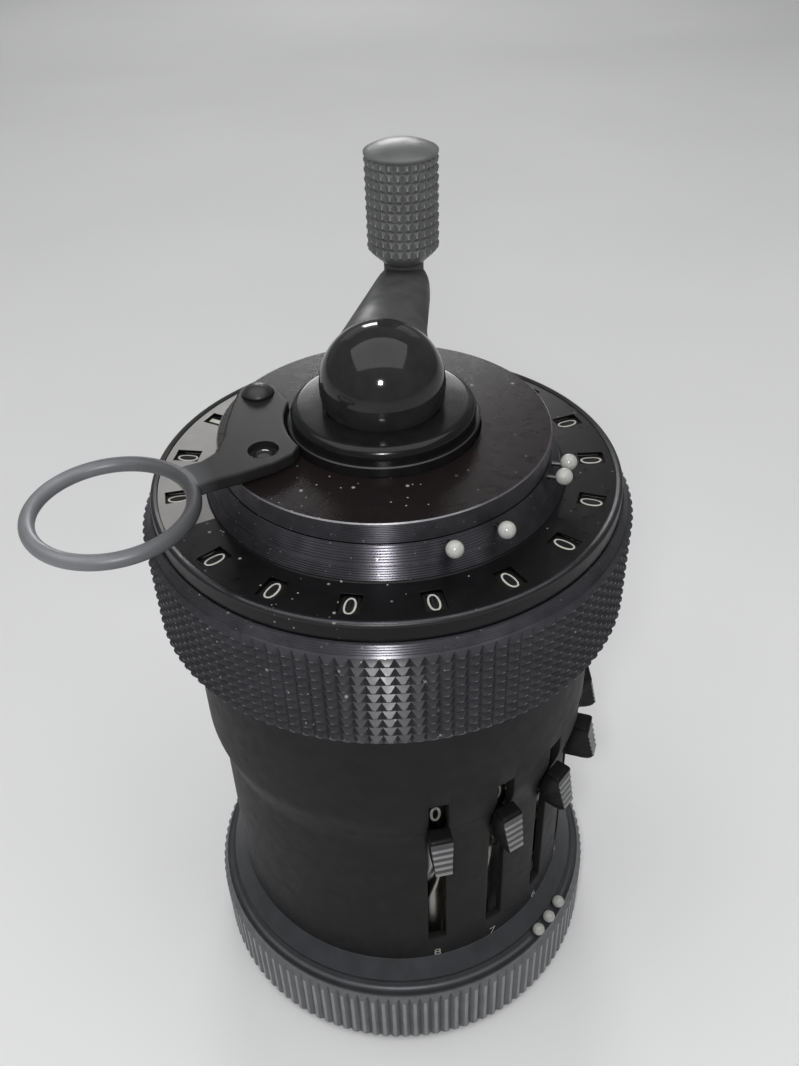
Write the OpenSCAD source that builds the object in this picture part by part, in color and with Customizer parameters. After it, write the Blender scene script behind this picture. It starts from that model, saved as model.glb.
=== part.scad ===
// Hand-cranked cylinder calculator, sizes in millimetres.
// It stands on its base at z = 0 with its axis on Z.
// Azimuth 0 points along -Y and grows towards +X.

/* [Base] */
// Diameter over the ribs of the base rim
base_d = 51.8; // [50:0.2:54]
// Width of the base outside the body
base_flare = 3.7; // [3.4:0.05:4]
// Height of the rim's plain upper edge
rim_h = 10.6; // [9.6:0.1:11.6]
// Height at which the sloping ledge meets the body
ledge_h = 13.9; // [13.2:0.1:15]
// Thickness of the bottom cover
cover_t = 1.4; // [1:0.1:2]
// Distance of the cover's edge from the base's edge
cover_inset = 2.9; // [2:0.1:4.8]

/* [Body] */
// Wall of the body tube
shell_wall = 1; // [0.8:0.05:1.2]
// Step from the body out to its shoulder
shoulder_step = 1.2; // [0.8:0.05:1.4]
// Gap between the shoulder and the carriage ring
ring_gap = 0.9; // [0.5:0.05:1.2]
// Height of the body that shows between base and carriage
body_h = 45.5; // [44.5:0.5:49]
// Height above the ledge at which the shoulder starts
shoulder_start = 23.8; // [22:0.2:25]
// Height of the shoulder's curve
shoulder_h = 6; // [4:0.2:8]
// Height of the tube hidden inside the carriage
tube_overlap = 5.4; // [3:0.2:6]

/* [Setting slides] */
// Width of a setting slot
slot_w = 2.2; // [2:0.05:3]
// Height of the slot's lower end above the ledge
slot_start = 3.9; // [3:0.1:6]
// Length of a setting slot
slot_len = 27.9; // [27.4:0.1:29]
// Travel of a slide for one digit
digit_step = 2; // [1.8:0.05:2]
// Reach of the lip of a slide's button outside the body
lip_reach = 2.65; // [2.3:0.05:2.9]
// Reach of the foot of a slide's button outside the body
foot_reach = 3.45; // [3:0.05:3.6]
// Width of the button's lip
lip_w = 2.3; // [2:0.1:3]
// Width of the button's foot
foot_w = 1.5; // [1.2:0.1:2.2]
// Height of the slide's button
button_h = 5.25; // [4.6:0.05:5.6]
// Diameter of a setting shaft
setting_d = 3.4; // [3:0.1:3.6]
// Distance of the setting shafts from the body's bore
setting_inset = 2.6; // [2.5:0.05:2.9]
// Distance between a setting shaft and its transmission shaft
shaft_apart = 5.2; // [5:0.05:5.3]

/* [Carriage] */
// Diameter over the knurl of the carriage ring
ring_d = 53; // [52:0.1:55]
// Wall of the carriage ring
ring_wall = 2.2; // [1.9:0.05:2.4]
// Height of the knurled band
knurl_h = 11.8; // [11.2:0.1:13]
// Depth of the knurl
knurl_depth = 0.5; // [0.3:0.05:0.7]
// Columns of the knurl on ring and base
knurl_n = 120; // [100:2:140]
// Thickness of the dial cover
deck_t = 2.3; // [2.2:0.05:2.6]
// Distance of the dial windows from the ring's edge
window_inset = 4.35; // [4.1:0.05:4.6]
// Width of a dial window
window_w = 2.5; // [2:0.1:3]
// Length of a dial window along the radius
window_l = 3.3; // [2.6:0.1:3.4]
// Radius of a number dial
dial_r = 3.1; // [2.8:0.05:3.15]
// Distance of the lower step from the ring's edge
step_inset = 7.35; // [7.2:0.05:7.6]
// Draw of each step's sloping wall
step_draw = 0.65; // [0.4:0.05:0.75]
// Height of the lower step
step_h = 1.45; // [1.3:0.05:1.7]
// Height of the bead step
bead_step_h = 1.65; // [1.5:0.05:1.9]
// Lift of the carriage
carriage_lift = 3; // [2:0.1:3.2]

/* [Clearing disc and lever] */
// Distance of the clearing disc's edge from the lower step
disc_inset = 1.75; // [1.6:0.05:2]
// Thickness of the clearing disc
disc_t = 2.3; // [2:0.1:2.6]
// Thickness of the lever plate
lever_t = 1.3; // [1:0.1:1.5]
// Distance of the lever's pivot from the disc's edge
pivot_inset = 3.3; // [3.1:0.05:3.5]
// Azimuth of the lever's pivot
pivot_az = -109; // [-112:1:-106]
// Outer radius of the finger loop
loop_r = 8.4; // [7.6:0.1:9]
// Thickness of the loop's rod
loop_rod = 1.9; // [1.6:0.1:2]
// Distance of the loop's centre outside the disc
loop_out = 11.8; // [11.4:0.1:12.6]
// Azimuth of the loop's centre
loop_az = -61.5; // [-64:0.5:-60]

/* [Crank] */
// Distance of the grip outside the disc
crank_out = 1.9; // [0.6:0.1:3.6]
// Azimuth of the crank at rest
crank_az = 171; // [160:1:180]
// Radius of the round crank hub
hub_r = 6.47; // [6.2:0.05:6.7]
// Height of the hub's centre above the disc
hub_up = 4.7; // [4.4:0.1:5.2]
// Radius of the crank arm's end
arm_tip_r = 2.75; // [2.4:0.05:2.9]
// Radius of the grip
grip_r = 4.1; // [3.6:0.1:4.6]
// Length of the knurled grip
grip_h = 12.1; // [11:0.1:13]
// Height of the grip's domed top
grip_dome = 1.1; // [0.8:0.1:2]
// Diameter of the main shaft
shaft_d = 7; // [6.4:0.1:7.2]
// Lift of the crank for subtracting
crank_lift = 3; // [2.8:0.1:3]
// Outer radius of the collar round the hub
collar_r = 9.6; // [9.2:0.1:9.7]

/* [Beads] */
// Radius of the decimal beads on the carriage
bead_r = 0.87; // [0.7:0.01:0.9]
// Radius of the decimal beads on the base
base_bead_r = 0.8; // [0.6:0.02:0.82]

/* [Fits] */
// Radial clearance of a running fit
run = 0.05; // [0.03:0.01:0.08]
// Gap between pieces that pass each other
gap = 0.15; // [0.1:0.01:0.2]
// Side clearance of a slide in its slot
side = 0.2; // [0.15:0.01:0.25]

/* [Hidden] */
slider_az = [for (i = [0:7]) 10 + 20 * i];
result_az = [for (i = [0:10]) -50 + 20 * i];
counter_az = [for (i = [0:5]) -80 - 20 * i];
bead_az = [18, 34.9, 66.9, 74.7];
base_bead_az = [44.9, 50.5, 56.6];
pillar_az = [-30, -90, -150];
reverse_az = -130;

// Radii
base_r = base_d / 2;
ring_r = ring_d / 2;
ring_bore_r = ring_r - ring_wall;
body_r = min(base_r - base_flare, ring_bore_r - ring_gap - shoulder_step);
shoulder_r = body_r + shoulder_step;
bore_r = body_r - shell_wall;
shaft_r = shaft_d / 2;
cover_r = base_r - cover_inset;
setting_shaft_r = setting_d / 2;
setting_r = bore_r - setting_inset;
wire_r = setting_r - shaft_apart;
window_r = ring_r - window_inset;
step_r = ring_r - step_inset;
step_top_r = step_r - step_draw;
bead_step_r = step_top_r - 0.15;
bead_top_r = bead_step_r - step_draw;
disc_r = step_r - disc_inset;
pivot_r = disc_r - pivot_inset;
loop_at_r = disc_r + loop_out;
crank_r = disc_r + crank_out;

// Heights, upwards from the base
knurl_z = ledge_h + body_h;
seat_z = knurl_z + knurl_h + 0.8;
deck_z = seat_z + deck_t;
step_z = deck_z + step_h;
bead_step_z = step_z + bead_step_h;
disc_z = bead_step_z + gap;
disc_top = disc_z + disc_t;
lever_z = disc_top + gap;
lever_top = lever_z + lever_t;
shell_top = knurl_z + tube_overlap;
hub_z = disc_top + hub_up;
hub_flat = hub_z - hub_r * 0.41;
arm_under = disc_top + carriage_lift + 0.45;
arm_shift = hub_r * 0.125;
arm_tip_shift = 0.2;
tip_z = hub_z + 1.7;
grip_z = tip_z + 3.35;
grip_edge_z = grip_z + grip_h;

// Setting slides
slot_z = ledge_h + slot_start;
slot_top = slot_z + slot_len;
travel = 9 * digit_step;
slot_spare = 1;
stem_z = slot_z + slot_spare + side + travel;
stem_h = 2.4;
stem_w = slot_w - 2 * side;
sleeve_r = setting_shaft_r + 0.7;
sleeve_z = stem_z - 0.8;
sleeve_h = stem_h + 0.8;
button_top = slot_top - 4.45;
lip_at = body_r + lip_reach;
foot_at = body_r + foot_reach;
pinion_z = stem_z + 1;
pinion_t = 0.8;
pinion_r = 2.1;
journal_r = 1;
groove_pin_z = sleeve_z + sleeve_h / 2;
groove_pin_r = 0.3;
groove_turn = 324 / travel;
drum_digits_z = sleeve_z + sleeve_h + 0.4;
drum_digits_h = slot_top + 0.6 - drum_digits_z;
drum_digits_r = setting_shaft_r + 0.75;

// Frame
plate_r = bore_r - 1.1;
plate_z = ledge_h - 3.3;
plate_t = 2.8;
upper_z = knurl_z - 3.4;
upper_t = 2.6;
column_r = shaft_r + 2;
column_top = disc_z + 0.35;
collar_top = disc_top + 2.75;
collar_well_r = sqrt(hub_r * hub_r - (hub_z - collar_top) * (hub_z - collar_top)) + 0.28;
flange_r = collar_r + 0.4;
disc_hole_r = flange_r + 0.25;

// Drum
drum_core_r = wire_r - pinion_r - 0.4;
drum_tip_r = wire_r - pinion_r + 0.5;
drum_z = pinion_z - travel - 3.2;
tooth_t = 0.8;
tooth_pitch = 8;
tooth_start = 200;

// Ratchet
ratchet_r = 8;
ratchet_t = 2.5;
ratchet_n = 24;

// Carriage and dials
dial_z = deck_z - 0.3 - dial_r;
axle_r = 0.7;
dial_out = window_r + window_l / 2 + 0.1;
dial_in = window_r - window_l / 2;
dial_gear_r = 1.9;
dial_gear_in = dial_in - 4.5;
wall_r = dial_gear_in - 0.4;
disc_bore_r = wall_r + 0.3;
skirt_t = 1.45;
hub_out = column_r + 3.3;
crown_top = dial_z - dial_gear_r - 0.8;
crown_z = crown_top - 2;

// Beads
bead_track_r = step_r + 0.2;
bead_z = bead_step_z - 0.05;
stem_slot_z = bead_step_z - 0.55;
stem_slot_r = bead_top_r - 1.2;
bead_stem_r = 0.25;
base_bead_at = base_r - 1.15;
base_bead_z = rim_h + 0.85;

// Lever, seen from above
function polar(r, az) = [r * sin(az), -r * cos(az)];
pivot = polar(pivot_r, pivot_az);
loop_at = polar(loop_at_r, loop_az);
loop_mid_r = loop_r - loop_rod / 2;
loop_z = lever_z + loop_rod / 2 + 0.05;
rivet_r = 1.15;
rivet_head_r = 1.75;

// Turns its child so that its +X points outwards at an azimuth
module at_az(az) {
  rotate([0, 0, az - 90]) children();
}

function tooth_point(i, n, tip, root) =
  (i % 2 == 0 ? tip : root) * [cos(180 * i / n), sin(180 * i / n)];

// A prism with pointed teeth all round
module toothed(n, tip, root, h) {
  linear_extrude(height = h) polygon([for (i = [0:2 * n - 1]) tooth_point(i, n, tip, root)]);
}

// A solid of revolution from points in radius and height
module turned(points) {
  rotate_extrude($fn = 96) polygon(points);
}

module round_bar(r, h) {
  cylinder(r = r, h = h, $fn = 48);
}

// A round bar along +X, from one radius to another
module spoke_bar(r, from, to, z) {
  translate([from, 0, z]) rotate([0, 90, 0]) round_bar(r, to - from);
}

module base_cover() {
  color("dimgray") difference() {
    union() {
      turned([
        [0, 0], [cover_r - 0.4, 0], [cover_r - gap, 0.3],
        [cover_r - gap, cover_t], [0, cover_t]
      ]);
      round_bar(shaft_r + 2, plate_z - 4.9);
    }
    translate([0, 0, cover_t]) round_bar(shaft_r - 0.2, plate_z);
  }
}

module base_ring() {
  root = base_r - knurl_depth;
  edge = base_r - 0.6;
  color("black") difference() {
    union() {
      translate([0, 0, 0.6]) toothed(knurl_n, base_r, root, rim_h - 1.2);
      turned([
        [0, 0], [root - 0.7, 0], [root - 0.1, 0.5], [root - 0.1, rim_h - 0.3], [edge, rim_h],
        [body_r, ledge_h], [0, ledge_h]
      ]);
    }
    translate([0, 0, -1]) round_bar(plate_r - 1.2, ledge_h + 2);
    translate([0, 0, plate_z]) round_bar(plate_r + run, ledge_h);
    translate([0, 0, -1]) round_bar(cover_r, cover_t + 1);
    rotate_extrude($fn = 96) translate([base_bead_at, base_bead_z])
      circle(r = base_bead_r + 0.1, $fn = 32);
  }
}

module body_shell() {
  z1 = ledge_h + shoulder_start;
  rise = shoulder_r - body_r;
  steps = 8;
  color("black") difference() {
    turned(concat(
      [[bore_r, ledge_h], [body_r, ledge_h]],
      [for (i = [0:steps]) [
        body_r + rise * (1 - cos(180 * i / steps)) / 2,
        z1 + shoulder_h * i / steps
      ]],
      [[shoulder_r, shell_top], [bore_r, shell_top]]
    ));
    for (az = slider_az) at_az(az)
      translate([bore_r - 2, -slot_w / 2, slot_z]) cube([6, slot_w, slot_len]);
    at_az(reverse_az)
      translate([bore_r - 2, -1.2, upper_z - 9.7]) cube([6, 2.4, 9]);
  }
}

module frame() {
  color("silver") difference() {
    union() {
      translate([0, 0, plate_z]) round_bar(plate_r, plate_t);
      translate([0, 0, plate_z - 1.8]) round_bar(shaft_r + 2, 2);
      for (az = pillar_az) at_az(az)
        translate([setting_r - 0.4, 0, plate_z + 1]) round_bar(1.6, upper_z - plate_z - 1);
    }
    translate([0, 0, -1]) round_bar(shaft_r + run, upper_z);
    for (az = slider_az) at_az(az) {
      translate([wire_r, 0, plate_z - 1]) round_bar(journal_r + run, plate_t + 2);
      translate([setting_r, 0, plate_z + 0.8]) round_bar(journal_r + run, plate_t);
    }
  }
}

module upper_plate() {
  color("silver") difference() {
    union() {
      translate([0, 0, upper_z]) round_bar(bore_r - 0.2, upper_t);
      translate([0, 0, upper_z]) round_bar(column_r, column_top - upper_z);
    }
    translate([0, 0, upper_z - 1]) round_bar(shaft_r + run, column_top);
    for (az = slider_az) at_az(az) {
      translate([wire_r, 0, upper_z - 1]) round_bar(journal_r + run, upper_t + 2);
      translate([setting_r, 0, upper_z - 1]) round_bar(journal_r + run, upper_t - 0.2);
    }
  }
}

module column_collar() {
  lip = 0.9;
  color("black") difference() {
    turned(concat(
      [[0, column_top], [flange_r, column_top]],
      [[flange_r, disc_top + 0.95], [flange_r - 0.15, disc_top + 1.1]],
      [[collar_r - 0.25, disc_top + 1.1], [collar_r - 0.25, disc_top + 1.4]],
      [for (i = [0:6]) [collar_r - lip + lip * cos(15 * i), collar_top - lip + lip * sin(15 * i)]],
      [[0, collar_top]]
    ));
    translate([0, 0, column_top - 1]) round_bar(shaft_r + run, 20);
    translate([0, 0, hub_flat - 0.3]) round_bar(collar_well_r, 20);
  }
}

module transmission_shafts() {
  color("silver") for (az = slider_az) at_az(az) translate([wire_r, 0, 0]) {
    translate([0, 0, plate_z + 0.2]) round_bar(journal_r, crown_top - plate_z - 0.4);
    translate([0, 0, crown_z]) toothed(10, pinion_r - 0.1, pinion_r - 0.6, 2);
  }
}

// Tips and roots of the ratchet's slanted teeth
function ratchet_point(i) = let (
  r = i % 2 == 0 ? ratchet_r : ratchet_r * 0.9,
  a = 180 * (i + (i % 2) * 0.8) / ratchet_n
) [r * cos(a), r * sin(a)];

module ratchet_wheel() {
  wheel_z = plate_z - 4.6;
  color("silver") difference() {
    translate([0, 0, wheel_z]) linear_extrude(height = ratchet_t)
      polygon([for (i = [0:2 * ratchet_n - 1]) ratchet_point(i)]);
    translate([0, 0, wheel_z + 1]) cube([key_w + 2 * run, key_w + 2 * run, 6], center = true);
  }
}
key_w = shaft_r * 1.2;

module main_shaft() {
  color("silver") {
    translate([-key_w / 2, -key_w / 2, cover_t + 1.6]) cube([key_w, key_w, plate_z - cover_t - 2.6]);
    translate([0, 0, plate_z - 1.6]) round_bar(shaft_r, hub_flat - plate_z + 1.6);
    translate([0, 0, hub_flat - 1]) round_bar(shaft_r - 0.5, hub_r * 0.7 + 1);
  }
}

// Row of teeth on the drum, a whole number of teeth in one band
module tooth_row(count, z) {
  for (i = [0:1:count - 1]) at_az(tooth_start + tooth_pitch * i)
    translate([drum_core_r - 1, -0.5, z]) cube([drum_tip_r - drum_core_r + 1, 1, tooth_t]);
}

module step_drum() {
  top = pinion_z + pinion_t + 3;
  bell_z = top + 1.6;
  color("gold") difference() {
    union() {
      translate([0, 0, drum_z]) round_bar(drum_core_r, top - drum_z);
      for (k = [1:9]) tooth_row(k, pinion_z - k * digit_step);
      for (k = [0:8]) tooth_row(9 - k, pinion_z - k * digit_step - crank_lift);
      translate([0, 0, top - 1]) round_bar(shaft_r + 2.5, 8.6);
      translate([0, 0, bell_z]) round_bar(drum_core_r, 6);
    }
    translate([0, 0, bell_z - 1]) difference() {
      round_bar(drum_core_r - 1.2, 5.5);
      translate([0, 0, -1]) round_bar(shaft_r + 2.5, 8);
    }
    translate([0, 0, drum_z - 1]) round_bar(shaft_r + 0.02, 60);
  }
}

// Round hub and tapering arm in one piece, with the pin of the grip
module crank_arm() {
  reach = crank_r;
  root_r = hub_r - arm_shift;
  aside = arm_shift + arm_tip_shift;
  run_len = sqrt(reach * reach + aside * aside + (tip_z - hub_z) * (tip_z - hub_z));
  slope = asin((tip_z - hub_z) / run_len);
  yaw = atan2(-aside, reach);
  taper = asin((root_r - arm_tip_r) / run_len);
  color("black") difference() {
    union() {
      difference() {
        translate([0, 0, hub_z]) sphere(r = hub_r, $fn = 96);
        translate([-20, -20, hub_flat - 40]) cube([40, 40, 40]);
      }
      at_az(crank_az) difference() {
        union() {
          translate([0, arm_shift, hub_z]) rotate([0, 90 - slope, yaw])
            translate([0, 0, root_r * sin(taper)]) cylinder(
              r1 = root_r * cos(taper),
              r2 = arm_tip_r * cos(taper),
              h = run_len + (arm_tip_r - root_r) * sin(taper),
              $fn = 96
            );
          translate([reach, -arm_tip_shift, tip_z]) sphere(r = arm_tip_r, $fn = 48);
        }
        translate([-10, -20, arm_under - 40]) cube([60, 40, 40]);
        translate([-20, -20, hub_z - 20]) cube([20, 40, 40]);
      }
      at_az(crank_az) translate([reach, 0, tip_z]) {
        round_bar(arm_tip_r - 0.5, grip_z - tip_z - 0.15);
        round_bar(1.6, grip_edge_z - tip_z - 1);
      }
    }
    translate([0, 0, hub_flat - 1]) round_bar(shaft_r - 0.48, hub_r * 0.7 + 1.1);
  }
}

module crank_grip() {
  cap = (grip_r * grip_r + grip_dome * grip_dome) / (2 * grip_dome);
  root = grip_r - 0.35;
  color("black") at_az(crank_az) translate([crank_r, 0, 0]) difference() {
    union() {
      turned([
        [0, grip_z], [grip_r - 1.7, grip_z], [root - 0.05, grip_z + 1.3],
        [root - 0.05, grip_edge_z], [0, grip_edge_z]
      ]);
      translate([0, 0, grip_z + 1.3]) toothed(26, grip_r, root, grip_h - 1.5);
      intersection() {
        translate([0, 0, grip_edge_z + grip_dome - cap]) sphere(r = cap, $fn = 96);
        translate([0, 0, grip_edge_z - 0.2]) round_bar(grip_r - 0.05, 10);
      }
    }
    translate([0, 0, grip_z - 1]) round_bar(1.6 + run, grip_h + 0.3);
  }
}

// Compression spring between carriage and collar, one tube along a helix
spring_r = column_r + 1.9;
spring_wire = 0.35;
spring_turns = 3.5;
spring_low = seat_z + spring_wire + 0.08;
spring_high = column_top - spring_wire - 0.08;
spring_rings = 8 * spring_turns;
function spring_point(i, j) = let (
  a = 360 * spring_turns * i / spring_rings,
  z = spring_low + (spring_high - spring_low) * i / spring_rings,
  r = spring_r + spring_wire * cos(60 * j)
) [r * cos(a), r * sin(a), z + spring_wire * sin(60 * j)];

module carriage_spring() {
  last = spring_rings;
  points = [for (i = [0:last]) for (j = [0:5]) spring_point(i, j)];
  sides = [for (i = [0:last - 1]) for (j = [0:5]) for (t = [0:1])
    let (a = 6 * i + j, b = 6 * i + (j + 1) % 6) t == 0 ? [a, b, a + 6] : [b, b + 6, a + 6]];
  first_cap = [for (j = [1:4]) [0, j + 1, j]];
  last_cap = [for (j = [1:4]) [6 * last, 6 * last + j, 6 * last + j + 1]];
  color("silver") polyhedron(points, concat(sides, first_cap, last_cap));
}

module carriage_body() {
  color("gray") difference() {
    union() {
      turned([
        [column_r + run, knurl_z + 2.1], [hub_out, knurl_z + 2.1], [hub_out, seat_z - 2.6],
        [wall_r - 1, seat_z - 2.6], [wall_r - 1, dial_z - dial_gear_r - 0.5],
        [wall_r, dial_z - dial_gear_r - 0.5], [wall_r, seat_z], [column_r + run, seat_z]
      ]);
      for (az = concat(result_az, counter_az)) at_az(az)
        spoke_bar(axle_r, wall_r - 0.5, ring_bore_r - 0.2, dial_z);
    }
    translate([0, 0, knurl_z]) round_bar(column_r + run, 30);
  }
}

module carriage_ring() {
  root = ring_r - knurl_depth;
  knurl_top = knurl_z + knurl_h;
  color("black") difference() {
    union() {
      translate([0, 0, knurl_z + 0.4]) toothed(knurl_n, ring_r, root, knurl_h - 0.4);
      turned([
        [0, knurl_z], [root - 0.5, knurl_z], [root - 0.05, knurl_z + 0.4], [root - 0.05, knurl_top],
        [root - 0.6, seat_z + 0.4], [0, seat_z + 0.4]
      ]);
    }
    translate([0, 0, knurl_z - 1]) round_bar(ring_bore_r, 40);
    translate([0, 0, seat_z]) round_bar(root - 0.9 + gap / 3, 10);
  }
}

// Radius of the bead step's sloping wall at a height
function bead_wall_r(z) = bead_step_r - step_draw * (z - step_z) / bead_step_h;

module dial_cover() {
  rim = ring_r - knurl_depth - 0.9;
  color("dimgray") difference() {
    turned(concat(
      [[wall_r - 1.6, seat_z], [rim, seat_z], [rim, deck_z - 0.2]],
      [for (i = [0:6]) [rim - 0.4 + 0.4 * cos(15 * i), deck_z - 0.2 + 0.4 * sin(15 * i)]],
      [[rim - 0.75, deck_z], [step_r, deck_z], [step_top_r, step_z], [bead_step_r, step_z]],
      [[bead_wall_r(stem_slot_z - 0.35), stem_slot_z - 0.35], [stem_slot_r, stem_slot_z - 0.35]],
      [[stem_slot_r, stem_slot_z + 0.35], [bead_wall_r(stem_slot_z + 0.35), stem_slot_z + 0.35]],
      [[bead_top_r, bead_step_z], [disc_bore_r, bead_step_z]],
      [[disc_bore_r, deck_z - 0.4], [wall_r - 1.6, deck_z - 0.4]]
    ));
    for (az = concat(result_az, counter_az)) at_az(az) {
      spoke_bar(dial_r + 0.2, dial_in - 0.3, dial_out + 0.3, dial_z);
      spoke_bar(dial_gear_r + 0.15, wall_r - 0.2, dial_in, dial_z);
      translate([window_r - window_l / 2, -window_w / 2, dial_z]) cube([window_l, window_w, 10]);
    }
  }
}

module clearing_disc() {
  color("black") difference() {
    turned([
      [disc_hole_r, disc_z], [disc_bore_r - run - skirt_t, disc_z],
      [disc_bore_r - run - skirt_t, deck_z - 0.25],
      [disc_bore_r - run, deck_z - 0.25], [disc_bore_r - run, disc_z], [disc_r, disc_z],
      [disc_r, disc_top - 0.15], [disc_r - 0.15, disc_top], [disc_hole_r, disc_top]
    ]);
    translate([pivot.x, pivot.y, disc_z - 1]) round_bar(rivet_r + 0.02, disc_t + 2);
  }
}

module pivot_rivet() {
  head = 1.05;
  cap = (rivet_head_r * rivet_head_r + head * head) / (2 * head);
  color("black") translate([pivot.x, pivot.y, 0]) {
    translate([0, 0, disc_z + 0.2]) round_bar(rivet_r, lever_top + 0.2 - disc_z);
    intersection() {
      translate([0, 0, lever_top + 0.1 + head - cap]) sphere(r = cap, $fn = 64);
      translate([0, 0, lever_top + 0.1]) round_bar(rivet_head_r, 4);
    }
  }
}

// Lever plate and finger loop in one piece
module clearing_lever() {
  dimple = polar(disc_r - 3.8, -62);
  color("black") difference() {
    union() {
      translate([0, 0, lever_z]) linear_extrude(height = lever_t) difference() {
        union() {
          translate(pivot) circle(r = 2.3, $fn = 48);
          polygon([
            pivot + [-2.25, -0.5], pivot + [-2.9, -4.6], pivot + [-2.8, -8.9], pivot + [-3.4, -11.6],
            pivot + [-4.9, -12.9], loop_at + loop_mid_r * [sin(62), cos(62)],
            loop_at + loop_mid_r * [sin(100), cos(100)],
            pivot + [-3.9, -16.4], pivot + [-0.6, -15.1], pivot + [2.9, -13.2], pivot + [4.6, -11.6],
            pivot + [5.6, -9.5], pivot + [2.25, 0.5]
          ]);
        }
        circle(r = flange_r + 0.25, $fn = 96);
        translate(loop_at) circle(r = loop_mid_r, $fn = 64);
      }
      translate([loop_at.x, loop_at.y, loop_z]) rotate_extrude($fn = 72)
        translate([loop_mid_r, 0]) circle(r = loop_rod / 2, $fn = 24);
    }
    translate([pivot.x, pivot.y, lever_z - 1]) round_bar(rivet_r + run, lever_t + 2);
    translate([dimple.x, dimple.y, lever_top - 0.7]) difference() {
      round_bar(1.6, 2);
      translate([0, 0, -1.1]) sphere(r = 1.6, $fn = 48);
    }
  }
}

module reversing_lever() {
  z = upper_z - 4.3;
  color("black") at_az(reverse_az) {
    translate([bore_r - 1.2, -2, z - 1.2]) cube([0.95, 4, 5]);
    translate([bore_r - 0.6, -1, z]) cube([shoulder_r - bore_r + 1.4, 2, 3.4]);
    translate([shoulder_r + 0.3, -1.7, z - 0.4]) cube([1.7, 3.4, 4.2]);
  }
}

module top_bead(i) {
  color("ivory") at_az(bead_az[i - 1]) {
    translate([bead_track_r, 0, bead_z]) sphere(r = bead_r, $fn = 32);
    spoke_bar(bead_stem_r, stem_slot_r + 0.2, bead_track_r, stem_slot_z);
  }
}

module base_bead(i) {
  color("ivory") at_az(base_bead_az[i - 1])
    translate([base_bead_at, 0, base_bead_z]) sphere(r = base_bead_r, $fn = 32);
}

// Radius of the body at a height on its shoulder
function body_at(z) = let (turn = 180 * (z - ledge_h - shoulder_start) / shoulder_h)
  body_r + shoulder_step * (1 - cos(max(0, min(180, turn)))) / 2;

// Ridged button outside, sleeve on the setting shaft, fork and pinion inside
module slider(i) {
  low = button_top - button_h;
  ridges = 7;
  lip_z = button_top - 0.55;
  first = low + 0.9;
  pitch = (lip_z - first) / ridges;
  lean = (foot_at - lip_at) / (lip_z - first);
  z1 = ledge_h + shoulder_start;
  color("dimgray") at_az(slider_az[8 - i]) {
    difference() {
      union() {
        intersection() {
          translate([0, 3, 0]) rotate([90, 0, 0]) linear_extrude(height = 6) polygon(concat(
            [[body_r + gap, low], [foot_at - 1.5, low], [foot_at - 0.75, low + 0.2]],
            [[foot_at - 0.25, low + 0.6]],
            [for (k = [0:ridges - 1]) for (t = [0:1]) [
              foot_at - lean * pitch * (k + t * 0.5) - t * 0.2,
              first + pitch * (k + t * 0.5)
            ]],
            [[lip_at, lip_z], [lip_at - 0.2, button_top - 0.2], [lip_at - 0.6, button_top]],
            [for (k = [0:4]) let (z = button_top - (button_top - z1) * k / 4) [body_at(z) + gap, z]]
          ));
          rotate([90, 0, 90]) linear_extrude(height = foot_at + 1) polygon([
            [-lip_w / 2, button_top - 0.35], [-lip_w / 2, lip_z - 0.4], [-foot_w / 2, low],
            [foot_w / 2, low], [lip_w / 2, lip_z - 0.4], [lip_w / 2, button_top - 0.35],
            [lip_w / 2 - 0.35, button_top], [0.35 - lip_w / 2, button_top]
          ]);
        }
        translate([setting_r, -stem_w / 2, stem_z]) cube([body_r + 0.8 - setting_r, stem_w, stem_h]);
        translate([setting_r, 0, sleeve_z]) round_bar(sleeve_r, sleeve_h);
        translate([wire_r, -0.8, pinion_z - 0.4]) cube([setting_r - wire_r, 1.6, pinion_t + 0.8]);
        translate([wire_r, 0, pinion_z]) toothed(10, pinion_r, pinion_r - 0.6, pinion_t);
      }
      translate([setting_r, 0, 0]) round_bar(setting_shaft_r + run, 90);
      translate([wire_r, 0, 0]) round_bar(journal_r + run, 90);
    }
    translate([setting_r - sleeve_r + 0.2, 0, groove_pin_z]) rotate([0, 90, 0])
      round_bar(groove_pin_r, sleeve_r - setting_shaft_r + 0.25);
  }
}

// Shaft with a steep helical groove, a number drum and two journals
module setting_shaft(i) {
  low = ledge_h + gap;
  groove_h = drum_digits_z - low;
  notch = 24;
  color("silver") at_az(slider_az[8 - i]) translate([setting_r, 0, 0]) {
    translate([0, 0, plate_z + 1]) round_bar(journal_r, low - plate_z);
    translate([0, 0, low]) rotate([0, 0, groove_turn * (low - groove_pin_z)])
      linear_extrude(height = groove_h, twist = -groove_turn * groove_h, slices = 26)
      polygon(concat(
        [for (k = [0:10]) let (a = 180 + notch + (360 - 2 * notch) * k / 10)
          setting_shaft_r * [cos(a), sin(a)]],
        setting_shaft_r * [[-0.55, 0.36], [-0.55, -0.36]]
      ));
    translate([0, 0, drum_digits_z - 0.2]) round_bar(drum_digits_r, drum_digits_h + 0.2);
    translate([0, 0, drum_digits_z + 1]) round_bar(journal_r, upper_z + 0.9 - drum_digits_z - 1);
  }
}

// Number dial on its radial axle: drum, neck and gear
module dial(az) {
  color("black") at_az(az) difference() {
    union() {
      spoke_bar(dial_r, dial_in, dial_out, dial_z);
      spoke_bar(1.4, dial_gear_in, dial_in + 0.1, dial_z);
      translate([dial_gear_in, 0, dial_z]) rotate([0, 90, 0])
        toothed(10, dial_gear_r, dial_gear_r - 0.5, 1);
    }
    spoke_bar(axle_r + run, dial_gear_in - 1, dial_out + 1, dial_z);
  }
}

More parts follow.
